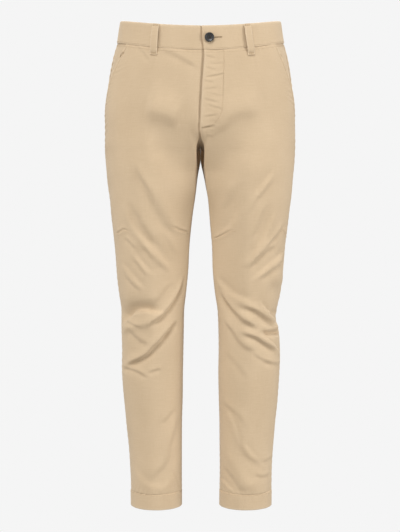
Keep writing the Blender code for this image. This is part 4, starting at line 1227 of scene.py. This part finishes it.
# Waist button
# A four-hole button of dark satin plastic with a raised rim and a dished face. It stays fastened through the
# buttonhole of the upper band.
BUTTON_DARK = (0.009, 0.009, 0.010, 1.0)
BUTTON_LIGHT = (0.030, 0.030, 0.032, 1.0)
BUTTON_RADIUS = 9.0
BUTTON_THICKNESS = 3.2
BUTTON_TURN = 0.068
BUTTON_SHARE = 0.5
BUTTON_LIFT = 0.9
BUTTON_ROUNDING = 0.8
BUTTON_STEPS = ((1.5, 0.0), (0.9, -0.25), (1.3, -0.75), (2.2, -0.15))
HOLE_RADIUS = 1.0
HOLE_RING_RADIUS = 2.3
horn = Finish("dark_button")
spot = horn.place()
cloud = horn.noise(spot, 260, 4)
grit = horn.noise(spot, 2400, 2)
horn.surface({
    "Base Color": horn.blend(cloud, BUTTON_DARK, BUTTON_LIGHT),
    "Roughness": 0.30 + grit * 0.22,
    "Normal": horn.bump(0.25, 0.00008, grit),
    "Coat Weight": 0.12,
})


def choose(piece):
    """Makes one piece the only one that is selected, and the active one."""
    bpy.ops.object.select_all(action="DESELECT")
    bpy.context.view_layer.objects.active = piece
    piece.select_set(True)


bpy.ops.mesh.primitive_cylinder_add(
    vertices=64, radius=BUTTON_RADIUS * MM, depth=BUTTON_THICKNESS * MM, end_fill_type="NGON"
)
button = bpy.context.active_object
button.name = "waist_button_dish"
bpy.ops.object.mode_set(mode="EDIT")
bpy.ops.mesh.select_all(action="DESELECT")
shape = bmesh.from_edit_mesh(button.data)
for face in shape.faces:
    face.select = face.normal.z > 0.9
bmesh.update_edit_mesh(button.data)
for inset, sink in BUTTON_STEPS:
    bpy.ops.mesh.inset(thickness=inset * MM)
    bpy.ops.transform.translate(value=(0, 0, sink * MM))
bpy.ops.mesh.select_all(action="DESELECT")
shape = bmesh.from_edit_mesh(button.data)
for edge in shape.edges:
    start, end = (vert.co for vert in edge.verts)
    is_outer = min(start.xy.length, end.xy.length) > (BUTTON_RADIUS - 0.1) * MM
    edge.select = is_outer and abs(start.z - end.z) < 0.1 * MM
bmesh.update_edit_mesh(button.data)
bpy.ops.mesh.bevel(offset=BUTTON_ROUNDING * MM, segments=4, affect="EDGES")
bpy.ops.object.mode_set(mode="OBJECT")
for quarter in range(4):
    angle = math.pi / 4 + quarter * math.pi / 2
    spot = (math.cos(angle) * HOLE_RING_RADIUS * MM, math.sin(angle) * HOLE_RING_RADIUS * MM, 0)
    bpy.ops.object.select_all(action="DESELECT")
    bpy.ops.mesh.primitive_cylinder_add(
        vertices=20, radius=HOLE_RADIUS * MM, depth=4 * BUTTON_THICKNESS * MM, location=spot
    )
    drill = bpy.context.active_object
    hole = button.modifiers.new("hole", "BOOLEAN")
    hole.operation = "DIFFERENCE"
    hole.solver = "EXACT"
    hole.object = drill
    choose(button)
    bpy.ops.object.modifier_apply(modifier="hole")
    bpy.data.objects.remove(drill)
button_low, button_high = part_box("waist_button")
button_facing = Vector(outward_faces(1, BUTTON_TURN, band_drop(BUTTON_TURN, BUTTON_SHARE)).tolist())
button_place = (button_low + button_high) / 2 + button_facing * BUTTON_LIFT * MM
turned = button_facing.to_track_quat("Z", "X").to_matrix().to_4x4()
button.data.transform(Matrix.Translation(button_place) @ turned)
button.data.materials.clear()
button.data.materials.append(horn.material)
choose(button)
bpy.ops.object.shade_smooth_by_angle(angle=math.radians(35))
bpy.ops.object.select_all(action="DESELECT")
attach(button, "root")
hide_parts("waist_button")

# Buttonhole
# A level slit near the end of the left band, worked round with close stitches. It runs out from under the
# button, which sits over its inner end.
HOLE_FROM_TURN = 0.072
HOLE_TO_TURN = 0.188
HOLE_STITCHES = 36
HOLE_HALF_HEIGHT = 0.95
HOLE_BAR = (1.5, 0.2)
HOLE_END_BAR = (3.2, 0.22)
HOLE_END_BARS_AT = (0.5, 1.0, 1.5)
SLIT_BAR = (3.2, 0.3)
# The dark bars laid along the slit are painted shadow: the shade inside the cut, not a colour of the cloth or
# thread.
SLIT_SHADOW = (0.10, 0.06, 0.032, 1.0)
slit_finish = Finish("slit_shadow")
slit_finish.surface({"Base Color": SLIT_SHADOW, "Roughness": 0.9})
work, slit = Threadwork(), Threadwork()


def at_buttonhole(turn, offset):
    """A place on the band beside the buttonhole, and the way that the band faces."""
    drop = float(band_drop(turn, BUTTON_SHARE))
    spot, _ = on_cloth(["twill_waistband_left"], garment_point(1, turn, drop + offset))
    return spot, outward_faces(1, turn, drop)


for number, turn in enumerate(np.linspace(HOLE_FROM_TURN, HOLE_TO_TURN, HOLE_STITCHES)):
    for offset in (-HOLE_HALF_HEIGHT, HOLE_HALF_HEIGHT):
        spot, facing = at_buttonhole(turn, offset)
        work.add_bar(spot, UPRIGHT, facing, *HOLE_BAR)
    if number % 4 == 2:
        spot, facing = at_buttonhole(turn, 0)
        slit.add_bar(spot, unit(np.cross(UPRIGHT, facing)), facing, *SLIT_BAR)
for offset in HOLE_END_BARS_AT:
    spot, facing = at_buttonhole(HOLE_TO_TURN + offset / CENTRE_ARC, 0)
    work.add_bar(spot, UPRIGHT, facing, *HOLE_END_BAR)
add_piece("buttonhole_stitches", work.points, work.faces, thread.material)
add_piece("buttonhole_slit", slit.points, slit.faces, slit_finish.material)

# Studio
# A plain pale floor under the hems, an even pale surround, and soft light from in front and a little above.
PALE = (0.913, 0.913, 0.913, 1.0)
GLOW = (1.0, 0.975, 0.93, 1.0)
GLOW_STRENGTH = 0.50
FLOOR_BELOW = 0.075
bpy.context.scene.view_settings.view_transform = "Standard"
bpy.context.scene.view_settings.look = "None"
floor_finish = Finish("pale_floor")
floor_finish.surface({
    "Base Color": (0.0, 0.0, 0.0, 1.0),
    "Specular IOR Level": 0.0,
    "Roughness": 1.0,
    "Emission Color": PALE,
    "Emission Strength": 1.0,
})
bpy.ops.mesh.primitive_circle_add(
    vertices=96, radius=4.0, fill_type="NGON", location=(0, 0, cad_low.z - FLOOR_BELOW)
)
floor = bpy.context.active_object
floor.name = "floor"
floor.data.materials.append(floor_finish.material)
floor.visible_diffuse = False
floor.visible_glossy = False
floor.visible_shadow = False
bpy.ops.object.select_all(action="DESELECT")

world = bpy.data.worlds.new("surround")
bpy.context.scene.world = world
world.use_nodes = True
sky = world.node_tree
sky.nodes.clear()
seen = sky.nodes.new("ShaderNodeBackground")
seen.inputs["Color"].default_value = PALE
glow = sky.nodes.new("ShaderNodeBackground")
glow.inputs["Color"].default_value = GLOW
glow.inputs["Strength"].default_value = GLOW_STRENGTH
rays = sky.nodes.new("ShaderNodeLightPath")
either = sky.nodes.new("ShaderNodeMixShader")
out = sky.nodes.new("ShaderNodeOutputWorld")
sky.links.new(rays.outputs["Is Camera Ray"], either.inputs[0])
sky.links.new(glow.outputs[0], either.inputs[1])
sky.links.new(seen.outputs[0], either.inputs[2])
sky.links.new(either.outputs[0], out.inputs["Surface"])


def add_aimed(name, data, place, target):
    """A lamp or camera at one place, turned to another."""
    holder = bpy.data.objects.new(name, data)
    holder.location = place
    holder.rotation_mode = "QUATERNION"
    holder.rotation_quaternion = (Vector(target) - Vector(place)).to_track_quat("-Z", "Y")
    bpy.context.scene.collection.objects.link(holder)
    return holder


Lamp = namedtuple("Lamp", "name place size power")
LAMPS = (
    Lamp("top", (-1.8, -7.8, 9.0), 5.0, 850),
    Lamp("right", (4.7, -1.9, 0.2), 2.4, 150),
    Lamp("left", (-4.6, -2.6, 0.2), 2.4, 92),
    Lamp("back", (0.0, 4.0, 3.0), 2.4, 200),
)
LAMP_AIM = (0.0, 0.0, -0.5)
for lamp in LAMPS:
    light = bpy.data.lights.new(lamp.name, "AREA")
    light.shape = "DISK"
    light.size = lamp.size
    light.energy = lamp.power
    add_aimed(lamp.name, light, lamp.place, LAMP_AIM)

CAMERA_DISTANCE = 3.6
CAMERA_ELEVATION = math.radians(4)
CAMERA_AIM = Vector((-0.0009, 0, -0.453))
SENSOR_WIDTH = 36
PICTURE_HEIGHT = 532
PIXEL_AT_AIM = 0.00195
camera_data = bpy.data.cameras.new("camera")
camera_data.sensor_width = SENSOR_WIDTH
camera_data.lens = SENSOR_WIDTH * CAMERA_DISTANCE / (PICTURE_HEIGHT * PIXEL_AT_AIM)
backward = Vector((0, -math.cos(CAMERA_ELEVATION), math.sin(CAMERA_ELEVATION)))
camera = add_aimed("camera", camera_data, CAMERA_AIM + CAMERA_DISTANCE * backward, CAMERA_AIM)
bpy.context.scene.camera = camera
